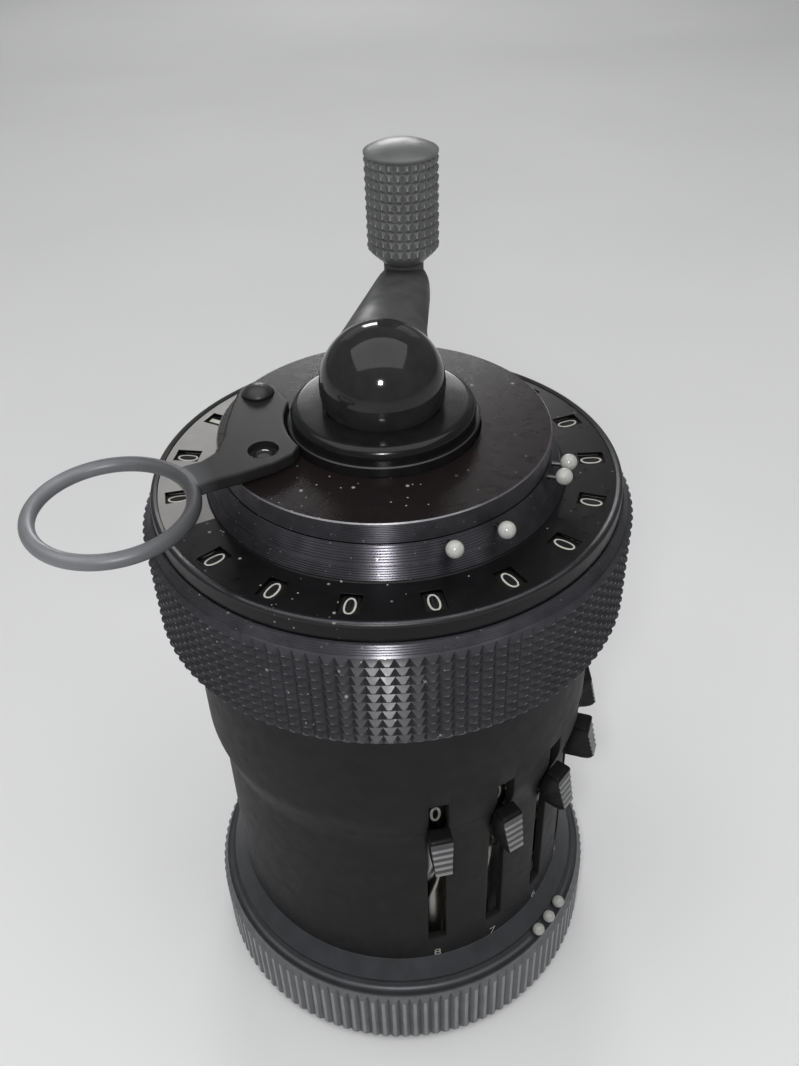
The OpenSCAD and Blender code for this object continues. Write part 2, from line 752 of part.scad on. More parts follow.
base_cover();
base_ring();
body_shell();
frame();
upper_plate();
column_collar();
transmission_shafts();
ratchet_wheel();
main_shaft();
step_drum();
crank_arm();
crank_grip();
carriage_spring();
carriage_body();
carriage_ring();
dial_cover();
clearing_disc();
pivot_rivet();
clearing_lever();
reversing_lever();
for (i = [1:4]) top_bead(i);
for (i = [1:3]) base_bead(i);
for (i = [1:8]) slider(i);
for (i = [1:8]) setting_shaft(i);
for (i = [1:11]) dial(result_az[11 - i]);
for (i = [1:6]) dial(counter_az[i - 1]);
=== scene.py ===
import math
import bpy
from mathutils import Matrix, Vector


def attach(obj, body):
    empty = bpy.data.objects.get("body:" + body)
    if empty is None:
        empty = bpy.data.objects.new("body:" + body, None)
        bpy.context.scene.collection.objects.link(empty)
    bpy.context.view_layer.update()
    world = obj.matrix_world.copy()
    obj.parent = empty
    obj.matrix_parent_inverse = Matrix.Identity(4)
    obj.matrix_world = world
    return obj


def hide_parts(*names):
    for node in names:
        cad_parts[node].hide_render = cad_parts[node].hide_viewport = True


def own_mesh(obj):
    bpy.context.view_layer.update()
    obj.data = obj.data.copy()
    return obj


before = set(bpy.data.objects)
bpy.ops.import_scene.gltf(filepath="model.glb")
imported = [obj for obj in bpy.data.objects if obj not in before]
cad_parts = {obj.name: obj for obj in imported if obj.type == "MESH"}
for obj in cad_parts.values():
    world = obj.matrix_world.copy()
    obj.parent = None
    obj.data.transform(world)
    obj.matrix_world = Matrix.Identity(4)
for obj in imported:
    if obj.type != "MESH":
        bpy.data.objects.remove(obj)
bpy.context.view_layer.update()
mm = 0.001
resultAz = [150 - 20 * i for i in range(11)]  # result dial 1 sits at azimuth 150
counterAz = [-80 - 20 * i for i in range(6)]
slideAz = [150 - 20 * i for i in range(8)]


def outward(az):  # azimuth 0 looks at the viewer, and grows to the viewer's right
    a = math.radians(az)
    return Vector((math.sin(a), -math.cos(a), 0))


def sideways(az):
    a = math.radians(az)
    return Vector((math.cos(a), math.sin(a), 0))


# Tools for modelling

def clearSelection():
    active = bpy.context.view_layer.objects.active
    if active and active.mode != "OBJECT":
        bpy.ops.object.mode_set(mode="OBJECT")
    bpy.ops.object.select_all(action="DESELECT")


def choose(piece):
    clearSelection()
    piece.select_set(True)
    bpy.context.view_layer.objects.active = piece


def editMesh(piece, kind="FACE"):
    choose(piece)
    bpy.ops.object.mode_set(mode="EDIT")
    bpy.ops.mesh.select_mode(type=kind)
    bpy.ops.mesh.select_all(action="DESELECT")


def pickFaces(piece, test):  # selects faces by their middle and normal, and stays in edit mode
    editMesh(piece)
    bpy.ops.object.mode_set(mode="OBJECT")
    for face in piece.data.polygons:
        face.select = bool(test(face.center / mm, face.normal))
    bpy.ops.object.mode_set(mode="EDIT")


def paintFaces(piece, slotIndex, test):  # gives the chosen faces one of the piece's finishes
    pickFaces(piece, test)
    piece.active_material_index = slotIndex
    bpy.ops.object.material_slot_assign()


def addFinishes(piece, *finishes):
    for finish in finishes:
        piece.data.materials.append(finish)


def placeMesh():  # moves the place, turn and scale of a new shape into its mesh
    bpy.ops.object.transform_apply(location=True, rotation=True, scale=True)
    return bpy.context.object


def selectRims():  # selects the open edges of the mesh in edit mode
    bpy.ops.mesh.select_non_manifold(extend=False, use_wire=False, use_boundary=True,
                                     use_multi_face=False, use_non_contiguous=False,
                                     use_verts=False)


def closeMesh():  # turns all faces outwards and leaves edit mode
    bpy.ops.mesh.select_all(action="SELECT")
    bpy.ops.mesh.normals_make_consistent(inside=False)
    bpy.ops.object.mode_set(mode="OBJECT")


def applyModifier(piece, kind, **settings):
    choose(piece)
    modifier = piece.modifiers.new(kind.lower(), kind)
    for key, value in settings.items():
        setattr(modifier, key, value)
    bpy.ops.object.modifier_apply(modifier=modifier.name)


def turnProfile(profile, sides, ring=True):  # extrudes and scales a circle along radius and height
    clearSelection()
    r, z = profile[0]
    bpy.ops.mesh.primitive_circle_add(vertices=sides, radius=r * mm, location=(0, 0, z * mm))
    piece = placeMesh()
    bpy.ops.object.mode_set(mode="EDIT")
    bpy.ops.mesh.select_mode(type="EDGE")
    bpy.ops.mesh.select_all(action="SELECT")
    for (r0, z0), (r1, z1) in zip(profile, profile[1:]):
        bpy.ops.mesh.extrude_edges_move(TRANSFORM_OT_translate={"value": (0, 0, (z1 - z0) * mm)})
        k = r1 / r0
        bpy.ops.transform.resize(value=(k, k, 1), center_override=(0, 0, z1 * mm))
    selectRims()
    if ring:
        bpy.ops.mesh.bridge_edge_loops()
    else:
        bpy.ops.mesh.fill_holes(sides=0)
    closeMesh()
    return piece


def grooved(start, end, count, depth):  # profile points of fine turning marks along a wall
    points = []
    for i in range(2 * count + 1):
        share = i / (2 * count)
        r = start[0] + (end[0] - start[0]) * share - (depth if i % 2 else 0)
        points.append((r, start[1] + (end[1] - start[1]) * share))
    return points


def loftRows(rows):  # extrudes a ring once for each row of points, then closes both ends
    count = len(rows[0])
    clearSelection()
    bpy.ops.mesh.primitive_circle_add(vertices=count, radius=mm)
    piece = bpy.context.object
    bpy.ops.object.mode_set(mode="EDIT")
    bpy.ops.mesh.select_mode(type="EDGE")
    for row in rows[1:]:
        bpy.ops.mesh.select_all(action="DESELECT")
        bpy.ops.object.mode_set(mode="OBJECT")
        last = len(piece.data.vertices) - count
        for edge in piece.data.edges:
            edge.select = all(v >= last for v in edge.vertices)
        bpy.ops.object.mode_set(mode="EDIT")
        bpy.ops.mesh.extrude_edges_move(TRANSFORM_OT_translate={"value": (0, 0, mm)})
    bpy.ops.object.mode_set(mode="OBJECT")
    for v, spot in zip(piece.data.vertices, [spot for row in rows for spot in row]):
        v.co = spot * mm
    editMesh(piece, "EDGE")
    selectRims()
    bpy.ops.mesh.fill_holes(sides=0)
    closeMesh()
    return piece


def copyPiece(piece, turn):
    twin = piece.copy()
    twin.data = piece.data.copy()
    twin.data.transform(turn)
    bpy.context.scene.collection.objects.link(twin)
    return twin


def aboutAxis(az):
    return Matrix.Rotation(math.radians(az), 4, "Z")


def boxAt(az, r, z, size):  # a block whose length points outwards
    place = outward(az) * r * mm
    bpy.ops.mesh.primitive_cube_add(size=1, location=(place.x, place.y, z * mm),
                                    rotation=(0, 0, math.radians(az - 90)),
                                    scale=[s * mm for s in size])
    return placeMesh()


def ballAt(place, r, segments):
    clearSelection()
    bpy.ops.mesh.primitive_uv_sphere_add(segments=segments, ring_count=segments // 2, radius=r * mm,
                                         location=[c * mm for c in place])
    return placeMesh()


def pegAt(place, r, tall):
    clearSelection()
    bpy.ops.mesh.primitive_cylinder_add(vertices=48, radius=r * mm, depth=tall * mm,
                                        location=[c * mm for c in place])
    return placeMesh()


def cutBelow(piece, z):  # cuts a ball flat at that height
    editMesh(piece)
    bpy.ops.mesh.select_all(action="SELECT")
    bpy.ops.mesh.bisect(plane_co=(0, 0, z * mm), plane_no=(0, 0, 1), clear_inner=True, use_fill=True)
    bpy.ops.object.mode_set(mode="OBJECT")


def movePiece(piece, way):
    editMesh(piece)
    bpy.ops.mesh.select_all(action="SELECT")
    bpy.ops.transform.translate(value=way * mm)
    bpy.ops.object.mode_set(mode="OBJECT")


def joinPieces(pieces):
    clearSelection()
    for one in pieces:
        one.select_set(True)
    bpy.context.view_layer.objects.active = pieces[0]
    bpy.ops.object.join()
    return pieces[0]


def cutWith(piece, cutters):
    cutter = joinPieces(cutters)
    applyModifier(piece, "BOOLEAN", operation="DIFFERENCE", object=cutter, solver="EXACT")
    bpy.data.objects.remove(cutter)


def roundEdges(piece, width, segments=2, angle=30, finish=-1):
    applyModifier(piece, "BEVEL", width=width * mm, segments=segments, limit_method="ANGLE",
                  angle_limit=math.radians(angle), material=finish, harden_normals=False,
                  use_clamp_overlap=True)


def smoothPiece(piece, angle=35):
    choose(piece)
    bpy.ops.object.shade_smooth_by_angle(angle=math.radians(angle))


def finishPiece(piece, name, body, slotName, *nodes):
    piece.name = name
    piece.data.name = name
    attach(piece, body)
    if nodes:
        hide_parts(*nodes)
    print("made", name, len(piece.data.polygons), "faces")


# Finishes

def newFinish(name, colour, rough, metal=0.0):
    finish = bpy.data.materials.new(name)
    finish.use_nodes = True
    tree = finish.node_tree
    shader = tree.nodes["Principled BSDF"]
    shader.inputs["Base Color"].default_value = (*colour, 1)
    shader.inputs["Roughness"].default_value = rough
    shader.inputs["Metallic"].default_value = metal
    place = tree.nodes.new("ShaderNodeTexCoord")
    return finish, tree, shader, place.outputs["Object"]


def addNoise(tree, place, scale, detail=3.0):
    node = tree.nodes.new("ShaderNodeTexNoise")
    node.inputs["Scale"].default_value = scale
    node.inputs["Detail"].default_value = detail
    tree.links.new(place, node.inputs["Vector"])
    return node.outputs["Fac"]


def addRange(tree, value, low, high, fromLow=0.3, fromHigh=0.7):
    node = tree.nodes.new("ShaderNodeMapRange")
    node.inputs["From Min"].default_value = fromLow
    node.inputs["From Max"].default_value = fromHigh
    node.inputs["To Min"].default_value = low
    node.inputs["To Max"].default_value = high
    tree.links.new(value, node.inputs["Value"])
    return node.outputs["Result"]


def addMix(tree, share, first, second):
    node = tree.nodes.new("ShaderNodeMix")
    node.data_type = "RGBA"
    for socket, value in ((node.inputs[6], first), (node.inputs[7], second)):
        if isinstance(value, tuple):
            socket.default_value = (*value, 1)
        else:
            tree.links.new(value, socket)
    tree.links.new(share, node.inputs[0])
    return node.outputs[2]


def addMath(tree, operation, first, second):
    node = tree.nodes.new("ShaderNodeMath")
    node.operation = operation
    for socket, value in zip(node.inputs, (first, second)):
        if isinstance(value, (int, float)):
            socket.default_value = value
        else:
            tree.links.new(value, socket)
    return node.outputs[0]


def addBump(tree, shader, height, depth, strength=1.0):
    node = tree.nodes.new("ShaderNodeBump")
    node.inputs["Strength"].default_value = strength
    node.inputs["Distance"].default_value = depth * mm
    tree.links.new(height, node.inputs["Height"])
    tree.links.new(node.outputs["Normal"], shader.inputs["Normal"])
    return node


def addRings(tree, place, pitch, kind="RINGS", noise=0.6):  # turning marks round the axis
    node = tree.nodes.new("ShaderNodeTexWave")
    node.wave_type = kind
    if kind == "RINGS":
        node.rings_direction = "Z"
    else:
        node.bands_direction = "Z"
    node.inputs["Scale"].default_value = 2 * math.pi / (20 * pitch * mm)
    node.inputs["Distortion"].default_value = noise
    node.inputs["Detail"].default_value = 2.0
    node.inputs["Detail Scale"].default_value = 3.0
    tree.links.new(place, node.inputs["Vector"])
    return node.outputs["Fac"]


def addDistance(tree, place, middle):
    node = tree.nodes.new("ShaderNodeVectorMath")
    node.operation = "DISTANCE"
    node.inputs[1].default_value = [c * mm for c in middle]
    tree.links.new(place, node.inputs[0])
    return node.outputs["Value"]


dustSize = {"middle": (-15, -16, 75), "reach": (9, 26), "thin": 0.16,  # thickest at the deck's left front
            "colour": (0.30, 0.29, 0.27)}


def addDust(tree, place, scale, size, share):  # pale specks in a share of the cells
    cells = tree.nodes.new("ShaderNodeTexVoronoi")
    cells.inputs["Scale"].default_value = scale
    tree.links.new(place, cells.inputs["Vector"])
    speck = addRange(tree, cells.outputs["Distance"], 1.0, 0.0, size * 0.5, size)
    near, far = dustSize["reach"]
    away = addDistance(tree, place, dustSize["middle"])
    thin = addRange(tree, away, 0.0, dustSize["thin"], near * mm, far * mm)
    luck = addMath(tree, "SUBTRACT", cells.outputs["Color"], thin)
    chosen = addRange(tree, luck, 0.0, 1.0, 1.0 - share, 1.02 - share)
    return addMath(tree, "MULTIPLY", speck, chosen)


def shade(colour, factor):
    return tuple(factor * c for c in colour)


def addCloud(tree, place, scale, detail, colour, factor):  # slow change between a colour and its shade
    share = addRange(tree, addNoise(tree, place, scale, detail), 0.0, 1.0)
    return addMix(tree, share, colour, shade(colour, factor))


def addSpecks(tree, place, tone, grains, share):
    for scale, size in grains:
        tone = addMix(tree, addDust(tree, place, scale, size, share), tone, dustSize["colour"])
    return tone


def makeSatin(name, colour, rough, dusty=0.0, rings=0.0, metal=0.0, cloud=1.3, shine=0.5):
    finish, tree, shader, place = newFinish(name, colour, rough, metal)
    shader.inputs["Specular IOR Level"].default_value = shine
    tone = addCloud(tree, place, 420, 5.0, colour, cloud)
    if dusty:
        tone = addSpecks(tree, place, tone, ((700, 0.16), (1500, 0.17)), dusty)
    tree.links.new(tone, shader.inputs["Base Color"])
    grain = addNoise(tree, place, 5200, 2.0)
    tree.links.new(addRange(tree, addNoise(tree, place, 700, 4.0), rough - 0.04, rough + 0.05),
                   shader.inputs["Roughness"])
    if rings:
        marks = addRings(tree, place, rings)
        grain = addMath(tree, "ADD", addMath(tree, "MULTIPLY", marks, 1.6), grain)
    addBump(tree, shader, grain, 0.005 if rings else 0.003, 0.5)
    return finish


def makeGloss(name, colour, rough, shine):
    finish, tree, shader, place = newFinish(name, colour, rough)
    shader.inputs["Specular IOR Level"].default_value = shine
    smear = addNoise(tree, place, 160, 5.0)
    tree.links.new(addRange(tree, smear, rough * 0.7, rough * 1.9), shader.inputs["Roughness"])
    tone = addCloud(tree, place, 500, 3.0, colour, 1.5)
    tree.links.new(tone, shader.inputs["Base Color"])
    addBump(tree, shader, addNoise(tree, place, 420, 2.0), 0.003, 0.25)
    return finish


def makeTurned(name, colour, rough):  # lathe-turned wall, whose gloss spreads along the axis
    finish, tree, shader, place = newFinish(name, colour, rough, 0.9)
    shader.inputs["Anisotropic"].default_value = 0.9
    shader.inputs["Anisotropic Rotation"].default_value = 0.25
    along = tree.nodes.new("ShaderNodeTangent")
    along.direction_type = "RADIAL"
    along.axis = "Z"
    tree.links.new(along.outputs["Tangent"], shader.inputs["Tangent"])
    tone = addCloud(tree, place, 520, 4.0, colour, 1.5)
    tone = addSpecks(tree, place, tone, ((900, 0.15), (1700, 0.18)), 0.36)
    tree.links.new(tone, shader.inputs["Base Color"])
    tree.links.new(addRange(tree, addNoise(tree, place, 300, 4.0), rough - 0.05, rough + 0.06),
                   shader.inputs["Roughness"])
    addBump(tree, shader, addNoise(tree, place, 5200, 2.0), 0.002, 0.4)
    return finish


def makeMetal(name, colour, rough, pitch=0.18, kind="BANDS"):
    finish, tree, shader, place = newFinish(name, colour, rough, 1.0)
    marks = addRings(tree, place, pitch, kind, 1.2)
    tree.links.new(addCloud(tree, place, 260, 4.0, colour, 0.72), shader.inputs["Base Color"])
    tree.links.new(addRange(tree, marks, rough - 0.06, rough + 0.1, 0.0, 1.0), shader.inputs["Roughness"])
    addBump(tree, shader, marks, 0.004, 0.4)
    return finish


def makeLoopBlend(name, colour, loopGlareColour, rough, middle, reach):  # a black plate fading into a pale grey loop, which is painted glare
    finish, tree, shader, place = newFinish(name, colour, rough)
    share = addRange(tree, addDistance(tree, place, middle), 1.0, 0.0, reach[0] * mm, reach[1] * mm)
    black = addCloud(tree, place, 420, 5.0, colour, 1.3)
    glareGrey = addCloud(tree, place, 420, 5.0, loopGlareColour, 0.86)
    tree.links.new(addMix(tree, share, black, glareGrey), shader.inputs["Base Color"])
    tree.links.new(addMath(tree, "MULTIPLY", share, 0.45), shader.inputs["Metallic"])
    shader.inputs["Specular IOR Level"].default_value = 0.15
    addBump(tree, shader, addNoise(tree, place, 5200, 2.0), 0.003, 0.5)
    return finish


def makePaint(name, colour, rough):
    finish, tree, shader, place = newFinish(name, colour, rough)
    tree.links.new(addCloud(tree, place, 2600, 3.0, colour, 0.8), shader.inputs["Base Color"])
    addBump(tree, shader, addNoise(tree, place, 6000, 2.0), 0.004, 0.5)
    return finish


bodyBlack = makeSatin("bodyBlack", (0.0128, 0.0133, 0.0125), 0.5, shine=0.1)
deckBlack = makeSatin("deckBlack", (0.0032, 0.0032, 0.0036), 0.3, dusty=0.34, shine=0.22)
lipBlack = makeSatin("lipBlack", (0.012, 0.012, 0.0125), 0.36, dusty=0.3, shine=0.3)
discBlack = makeSatin("discBlack", (0.0085, 0.006, 0.0062), 0.28, dusty=0.3, rings=0.22, shine=0.1)
turnedBlack = makeTurned("turnedBlack", (0.06, 0.058, 0.066), 0.34)
knurlBlack = makeSatin("knurlBlack", (0.03, 0.03, 0.034), 0.25, dusty=0.3, shine=0.17)
knurlCrest = makeSatin("knurlCrest", (0.07, 0.071, 0.077), 0.34, shine=0.3)
ribBlack = makeSatin("ribBlack", (0.115, 0.117, 0.122), 0.4)
ribCrest = makeSatin("ribCrest", (0.215, 0.219, 0.225), 0.4, metal=0.2)
gripBlack = makeSatin("gripBlack", (0.092, 0.093, 0.093), 0.38)
gripCrest = makeSatin("gripCrest", (0.25, 0.253, 0.253), 0.38, metal=0.2)
armBlack = makeGloss("armBlack", (0.05, 0.05, 0.051), 0.46, shine=0.22)
# painted highlight: a pale metal band laid along the clearing disc's top edge
edgeHighlight = makeSatin("edgeHighlight", (0.26, 0.26, 0.27), 0.28, metal=0.9)
# painted highlight, dimmer, along the clearing disc's bottom edge
edgeDimHighlight = makeSatin("edgeDimHighlight", (0.1, 0.1, 0.105), 0.3, metal=0.6)
# painted highlight: a lighter thin band on the collar flange's top edge
flangeHighlight = makeSatin("flangeHighlight", (0.045, 0.045, 0.046), 0.34, metal=0.5)
enamelBlack = makeGloss("enamelBlack", (0.007, 0.007, 0.0075), 0.12, shine=0.28)
hubGloss = makeGloss("hubGloss", (0.015, 0.015, 0.0155), 0.06, shine=0.34)
# leverBlack: the loop's grey, palest away from the plate, is painted glare on a black part
leverBlack = makeLoopBlend("leverBlack", (0.012, 0.012, 0.0125), (0.25, 0.254, 0.268), 0.42,
                           (-34, -17, 81), (7, 19))
rivetBlack = makeSatin("rivetBlack", (0.016, 0.016, 0.0165), 0.4)
slideBlack = makeSatin("slideBlack", (0.005, 0.005, 0.0057), 0.46, shine=0.16)
# painted light: the slider's front face is coloured lighter than its black top
slideFaceLit = makeSatin("slideFaceLit", (0.055, 0.055, 0.058), 0.42, metal=0.1)
# painted highlight: a bright band on each slider ridge
slideRidgeHighlight = makeSatin("slideRidgeHighlight", (0.24, 0.24, 0.242), 0.34, metal=0.3)
ledgeBlack = makeSatin("ledgeBlack", (0.043, 0.044, 0.049), 0.36, metal=0.3)
sectorSilver = makeSatin("sectorSilver", (0.22, 0.212, 0.207), 0.46, metal=0.1, cloud=1.12)
alloy = makeMetal("alloy", (0.5, 0.5, 0.51), 0.34, kind="RINGS")
steel = makeMetal("steel", (0.42, 0.41, 0.38), 0.34)
drumAlloy = makeMetal("drumAlloy", (0.5, 0.45, 0.35), 0.36)
# kept lighter than the deck: painted light that offsets the shade inside the dial windows
dialBlack = makeSatin("dialBlack", (0.01, 0.01, 0.0105), 0.6, shine=0.1)
numberPaint = makePaint("numberPaint", (0.46, 0.45, 0.41), 0.5)
beadWhite = makePaint("beadWhite", (0.44, 0.44, 0.415), 0.2)
beadPin = makeMetal("beadPin", (0.12, 0.12, 0.115), 0.34)

nodeFinish = {
    "base_cover": bodyBlack, "base_ring": knurlBlack, "body_shell": bodyBlack, "frame": alloy,
    "upper_plate": alloy, "column_collar": enamelBlack, "transmission_shafts": steel,
    "ratchet_wheel": steel, "main_shaft": steel, "step_drum": drumAlloy, "crank_arm": hubGloss,
    "crank_grip": knurlBlack, "carriage_spring": steel, "carriage_body": alloy,
    "carriage_ring": knurlBlack, "dial_cover": deckBlack, "clearing_disc": discBlack,
    "pivot_rivet": rivetBlack, "clearing_lever": enamelBlack, "reversing_lever": slideBlack,
}
familyFinish = {"top_bead": beadWhite, "base_bead": beadWhite, "slider": slideBlack,
                "setting_shaft": steel, "result_dial": dialBlack, "counter_dial": dialBlack}
for nodeName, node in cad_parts.items():
    family = nodeName.rstrip("0123456789").rstrip("_")
    node.data.materials.clear()
    node.data.materials.append(nodeFinish.get(nodeName) or familyFinish[family])
print("finishes on", len(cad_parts), "nodes")


# Knurled carriage ring

ringSize = {"root": 26.0, "bore": 24.3, "foot": 25.5, "low": 59.4, "rowLow": 59.8, "rowHigh": 71.2,
            "rows": 10, "columns": 120, "inset": 0.5, "proud": 0.5, "seat": 72.0, "top": 72.4,
            "chamfer": 25.92, "rim": 25.4, "recess": 25.15, "grooves": 5, "grooveDeep": 0.05}


def makeCarriageRing(s):
    rows = s["rows"]
    step = (s["rowHigh"] - s["rowLow"]) / rows
    profile = [(s["bore"], s["seat"]), (s["bore"], s["low"]), (s["foot"], s["low"])]
    profile += [(s["root"], s["rowLow"] + step * i) for i in range(rows + 1)]
    profile += grooved((s["chamfer"], s["rowHigh"] + 0.06), (s["rim"], s["top"]),
                       s["grooves"], s["grooveDeep"])
    profile += [(s["recess"], s["top"]), (s["recess"], s["seat"])]
    ring = turnProfile(profile, s["columns"])
    addFinishes(ring, knurlBlack, knurlCrest, turnedBlack)
    pickFaces(ring, lambda c, n: s["rowLow"] < c.z < s["rowHigh"] and c.xy.length > s["root"] - 0.1)
    bpy.ops.mesh.inset(thickness=s["inset"] * mm, depth=s["proud"] * mm, use_individual=True)
    ring.active_material_index = 1
    bpy.ops.object.material_slot_assign()
    paintFaces(ring, 2, lambda c, n: c.z > s["rowHigh"] and c.xy.length > s["rim"] - 0.1)
    smoothPiece(ring, 20)
    finishPiece(ring, "carriageRing", "carriage", "black_alloy", "carriage_ring")


makeCarriageRing(ringSize)


# Body shell with its slots

bodySize = {"bore": 21.2, "r": 22.2, "low": 13.9, "rise": (37.7, 43.7), "shoulder": 23.4, "top": 64.8,
            "slot": (17.8, 45.7), "slotW": 2.2, "reverseAz": -130, "reverse": (46.3, 55.3),
            "reverseW": 2.4, "sides": 180, "drumRoom": (39.3, 46.6), "drumBore": 21.9, "cut": 6}


def bodyRadius(z):  # the shell swells from the tube to the shoulder
    start, end = bodySize["rise"]
    share = min(1, max(0, (z - start) / (end - start)))
    swell = (1 - math.cos(math.pi * share)) / 2
    return bodySize["r"] + (bodySize["shoulder"] - bodySize["r"]) * swell


def makeBody(s):
    start, end = s["rise"]
    profile = [(s["bore"], s["low"])]
    profile += [(s["r"], s["low"] + (start - s["low"]) * i / 5) for i in range(5)]
    rise = [start + (end - start) * i / 12 for i in range(13)]
    profile += [(bodyRadius(z), z) for z in rise]
    profile += [(s["shoulder"], end + (s["top"] - end) * i / 4) for i in range(1, 5)]
    low, high = s["drumRoom"]
    profile += [(s["bore"], s["top"]), (s["bore"], high + 0.1), (s["drumBore"], high),
                (s["drumBore"], low), (s["bore"], low - 0.1)]
    body = turnProfile(profile, s["sides"])
    addFinishes(body, bodyBlack)
    slots = [(az, s["slot"], s["slotW"]) for az in slideAz]
    slots.append((s["reverseAz"], s["reverse"], s["reverseW"]))
    blocks = []
    for az, (low, high), wide in slots:
        clearSelection()
        blocks.append(boxAt(az, s["r"], (low + high) / 2, (s["cut"], wide, high - low)))
    cutWith(body, blocks)
    roundEdges(body, 0.12, 2, 50)
    smoothPiece(body, 30)
    finishPiece(body, "bodyShell", "stand", "black_alloy", "body_shell")


makeBody(bodySize)


# Base ring with its ribs, ledge and bead groove

baseSize = {"root": 25.4, "ribLow": 0.7, "ribHigh": 10.0, "columns": 120, "inset": 0.46, "proud": 0.5,
            "grooveAt": (24.75, 11.45), "grooveR": 0.9, "grooveFrom": 145, "grooveTo": 301,
            "ledge": (22.2, 13.9), "ledgeLow": (23.0, 13.05), "neck": 20.15, "neckLow": 10.6,
            "bore": 18.9, "seat": 23.0, "seatHigh": 1.4, "foot": 24.7, "rim": 25.3}


def makeBaseRing(s):
    gr, gz = s["grooveAt"]
    start, end = s["grooveFrom"], s["grooveTo"]
    turns = [math.radians(end - (end - start) * i / 9) for i in range(10)]
    arc = [(gr + s["grooveR"] * math.cos(a), gz + s["grooveR"] * math.sin(a)) for a in turns]
    profile = [s["ledge"], (s["neck"], s["ledge"][1]), (s["neck"], s["neckLow"]), (s["bore"], s["neckLow"]),
               (s["bore"], s["seatHigh"]), (s["seat"], s["seatHigh"]), (s["seat"], 0.0), (s["foot"], 0.0),
               (s["rim"], 0.5), (s["root"], s["ribLow"]), (s["root"], s["ribHigh"]), (s["rim"], 10.35),
               (s["rim"] - 0.01, 10.6)]
    base = turnProfile(profile + arc + [s["ledgeLow"]], s["columns"])
    addFinishes(base, ribBlack, ribCrest, ledgeBlack)
    pickFaces(base, lambda c, n: s["ribLow"] < c.z < s["ribHigh"] and c.xy.length > s["rim"]
              and abs(n.z) < 0.1)
    bpy.ops.mesh.inset(thickness=s["inset"] * mm, depth=s["proud"] * mm, use_individual=True)
    base.active_material_index = 1
    bpy.ops.object.material_slot_assign()
    paintFaces(base, 2, lambda c, n: c.z > s["ribHigh"] + 0.4 and c.xy.length > s["ledge"][0] - 0.1)
    smoothPiece(base, 28)
    finishPiece(base, "baseRing", "stand", "black_alloy", "base_ring")


makeBaseRing(baseSize)


# Deck with the dial windows, two-tone

deckSize = {"rim": 25.1, "seat": 72.0, "deck": 74.3, "lip": 0.4, "inner": 14.0, "bore": 15.9,
            "step": (19.15, 18.5), "stepTop": 75.75, "beadStep": (18.35, 17.5), "top": 77.5,
            "windowR": 22.15, "window": (2.75, 2.1, 6), "dialZ": 70.9, "dialPocket": (3.3, 20.2, 24.2),
            "gearPocket": (2.05, 15.4, 20.6), "silverFrom": -65, "silverTo": -195, "sides": 192}


def faceAzimuth(c):
    return math.degrees(math.atan2(c.x, -c.y))


def pocketAt(az, z, pocket):  # a round bar along the spoke, which makes room for a dial
    r, start, end = pocket
    place = outward(az) * (start + end) / 2 * mm
    bpy.ops.mesh.primitive_cylinder_add(vertices=48, radius=r * mm, depth=(end - start) * mm,
                                        location=(place.x, place.y, z * mm),
                                        rotation=(0, math.radians(90), math.radians(az - 90)))
    return placeMesh()


def makeDeck(s):
    rim, deck, lip = s["rim"], s["deck"], s["lip"]
    (stepLow, stepHigh), (beadLow, beadHigh) = s["step"], s["beadStep"]
    profile = [(s["inner"], s["seat"]), (rim, s["seat"])]
    profile += [(rim - lip + lip * math.cos(a), deck - lip / 2 + lip * math.sin(a))
                for a in [math.radians(15 * i) for i in range(7)]]
    profile += [(rim - 0.7, deck + 0.08), (rim - 0.8, deck), (stepLow + 0.12, deck), (stepLow, deck + 0.1)]
    profile += grooved((stepLow - 0.04, deck + 0.2), (stepHigh, s["stepTop"]), 6, 0.028)
    profile += [(beadLow + 0.04, s["stepTop"])]
    profile += grooved((beadLow, s["stepTop"] + 0.06), (beadHigh, s["top"]), 7, 0.03)
    profile += [(s["bore"], s["top"]), (s["bore"], deck - 0.4), (s["inner"], deck - 0.4)]
    cover = turnProfile(profile, s["sides"])
    addFinishes(cover, deckBlack, lipBlack, turnedBlack, sectorSilver)
    paintFaces(cover, 1, lambda c, n: c.z > deck - 0.22 and c.xy.length > rim - 0.72)
    paintFaces(cover, 2, lambda c, n: deck + 0.15 < c.z < s["top"] - 0.01 and c.xy.length > beadHigh)

    def inSilver(c, n):
        turn = (s["silverFrom"] - faceAzimuth(c)) % 360
        return n.z > 0.8 and abs(c.z - deck) < 0.05 and turn < s["silverFrom"] - s["silverTo"]

    paintFaces(cover, 3, inSilver)
    bpy.ops.object.mode_set(mode="OBJECT")
    blocks = []
    for az in resultAz + counterAz:
        clearSelection()
        blocks.append(boxAt(az, s["windowR"], deck, s["window"]))
    cutWith(cover, blocks)
    for pocket in (s["dialPocket"], s["gearPocket"]):
        bars = []
        for az in resultAz + counterAz:
            clearSelection()
            bars.append(pocketAt(az, s["dialZ"], pocket))
        cutWith(cover, bars)
    roundEdges(cover, 0.05, 1, 62)
    smoothPiece(cover, 16)
    finishPiece(cover, "dialCover", "carriage", "two_tone_deck", "dial_cover")


makeDeck(deckSize)


# Clearing disc

discSize = {"r": 17.4, "hole": 10.06, "low": 77.55, "high": 79.85, "skirtOut": 15.85, "skirtIn": 14.4,
            "skirtLow": 74.05, "grooves": 10, "grooveDeep": 0.035, "sides": 192}


